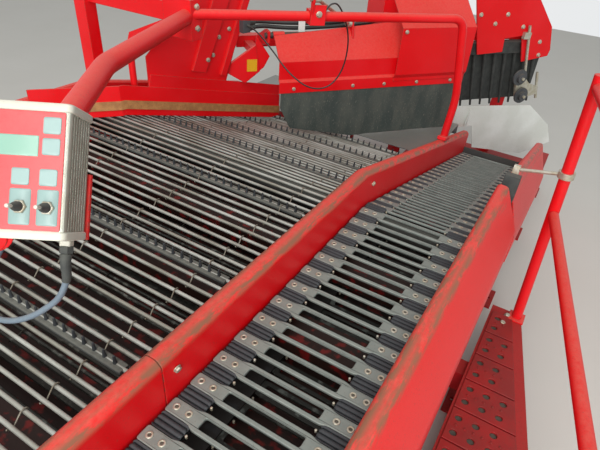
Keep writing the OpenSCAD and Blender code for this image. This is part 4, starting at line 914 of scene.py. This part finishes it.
def tread():
    """Planks across the platform, each cut to its slanted edge, with two rows of holes over dark discs of
    painted shade, and a row of studs between them."""
    edge, far = np.array(PLATFORM_EDGE, float).T
    turn = np.linspace(0, 2 * np.pi, 12, endpoint=False)
    hole = 13 * np.column_stack([np.cos(turn), np.sin(turn)])
    # Dark discs under the holes are painted shade seen through them
    hole_shade = turned([(12.8, 0), (12.8, 0.4), (0.5, 0.4)], 12)
    stud = turned([(5, 0), (4, 2.2), (1, 3)], 8)
    left, foot, planks, hole_shade_spots, studs = 985, FLOOR_Z + 0.5, [], [], []
    for y0 in np.arange(-985, 1040, PLANK_PITCH):
        y1 = y0 + PLANK_PITCH - 6
        right, far_right = np.interp([y0, y1], far, edge) - 42
        narrowest = min(right, far_right)
        if narrowest < left + 60:
            continue
        rows = [(x, y) for y in (y0 + 38, y0 + 106) for x in np.arange(left + 30, narrowest - 25, 62)]
        outline = [[left, y0], [right, y0], [far_right, y1], [left, y1]]
        plank = cut_out([outline] + [hole + p for p in rows], 0, PLANK_T, 1.2)
        planks.append(moved(plank, unturned(0, 0, foot)))
        hole_shade_spots += [unturned(x, y, foot) for x, y in rows]
        studs += [unturned(x, y0 + 72, foot + PLANK_T) for x in np.arange(left + 30, narrowest - 15, 31)]
    piece("platform_tread", merged(*planks), tread_paint, smooth=False)
    piece("platform_studs", copies(stud, studs), tread_paint)
    piece("platform_hole_shade", copies(hole_shade, hole_shade_spots), dark_steel)


hood_tube()
control_arm()
tread()
bolts()

# Better finish on the solids that stay
for name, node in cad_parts.items():
    for held in node.material_slots:
        slot_name = held.material.name.split(".")[0] if held.material else "red_paint"
        finish = FINISH_OF.get(slot_name, red_paint)
        # The darker red on the solids low on the machine is painted shade
        held.material = shaded_red if name in DEEP_NODES else finish


# Floor, light and background
def studio():
    """Pale floor, an even pale world that shows plain behind the object, and two large soft lamps."""
    edge = 9.0
    mesh = bpy.data.meshes.new("studio_floor")
    mesh.from_pydata([(-edge, -edge, 0), (edge, -edge, 0), (edge, edge, 0), (-edge, edge, 0)], [],
                     [(0, 1, 2, 3)])
    floor = bpy.data.objects.new("studio_floor", mesh)
    made, tree, shader, coords = started("studio_floor", 0.9)
    cloud = add(tree, "TexNoise", {"Vector": coords.outputs["Object"], "Scale": 2.0, "Detail": 3.0})
    pale = add(tree, "Mix", {0: cloud, 6: linear("#cfcdc6"), 7: linear("#d6d4ce")}, data_type="RGBA")
    tree.links.new(pale.outputs[2], shader.inputs["Base Color"])
    mesh.materials.append(made)
    bpy.context.scene.collection.objects.link(floor)
    world = bpy.data.worlds.new("studio")
    world.use_nodes = True
    tree = world.node_tree
    back = tree.nodes["Background"]
    path = add(tree, "LightPath")
    seen = add(tree, "Math", {0: path.outputs["Is Camera Ray"], 1: path.outputs["Is Glossy Ray"]},
               operation="MAXIMUM")
    seen = add(tree, "Math", {0: seen, 1: path.outputs["Is Transmission Ray"]}, operation="MAXIMUM")
    strength = add(tree, "MapRange", {"Value": seen, "To Min": 0.5, "To Max": 0.9})
    back.inputs["Color"].default_value = linear("#f4f6f7")
    tree.links.new(strength.outputs[0], back.inputs["Strength"])
    bpy.context.scene.world = world
    aim = Vector((0, 0.6, 0.8))
    for name, power, at in (("top_softbox", 170, (1.5, -2.5, 6.0)), ("front_softbox", 300, (2.2, -4.8, 2.8))):
        lamp = bpy.data.lights.new(name, "AREA")
        lamp.shape = "DISK"
        lamp.size = 4.0
        lamp.energy = power
        lamp.color = (1.0, 0.985, 0.96)
        held = bpy.data.objects.new(name, lamp)
        held.location = at
        held.rotation_euler = (aim - Vector(at)).to_track_quat("-Z", "Y").to_euler()
        bpy.context.scene.collection.objects.link(held)
    bpy.context.scene.view_settings.view_transform = "Standard"


studio()
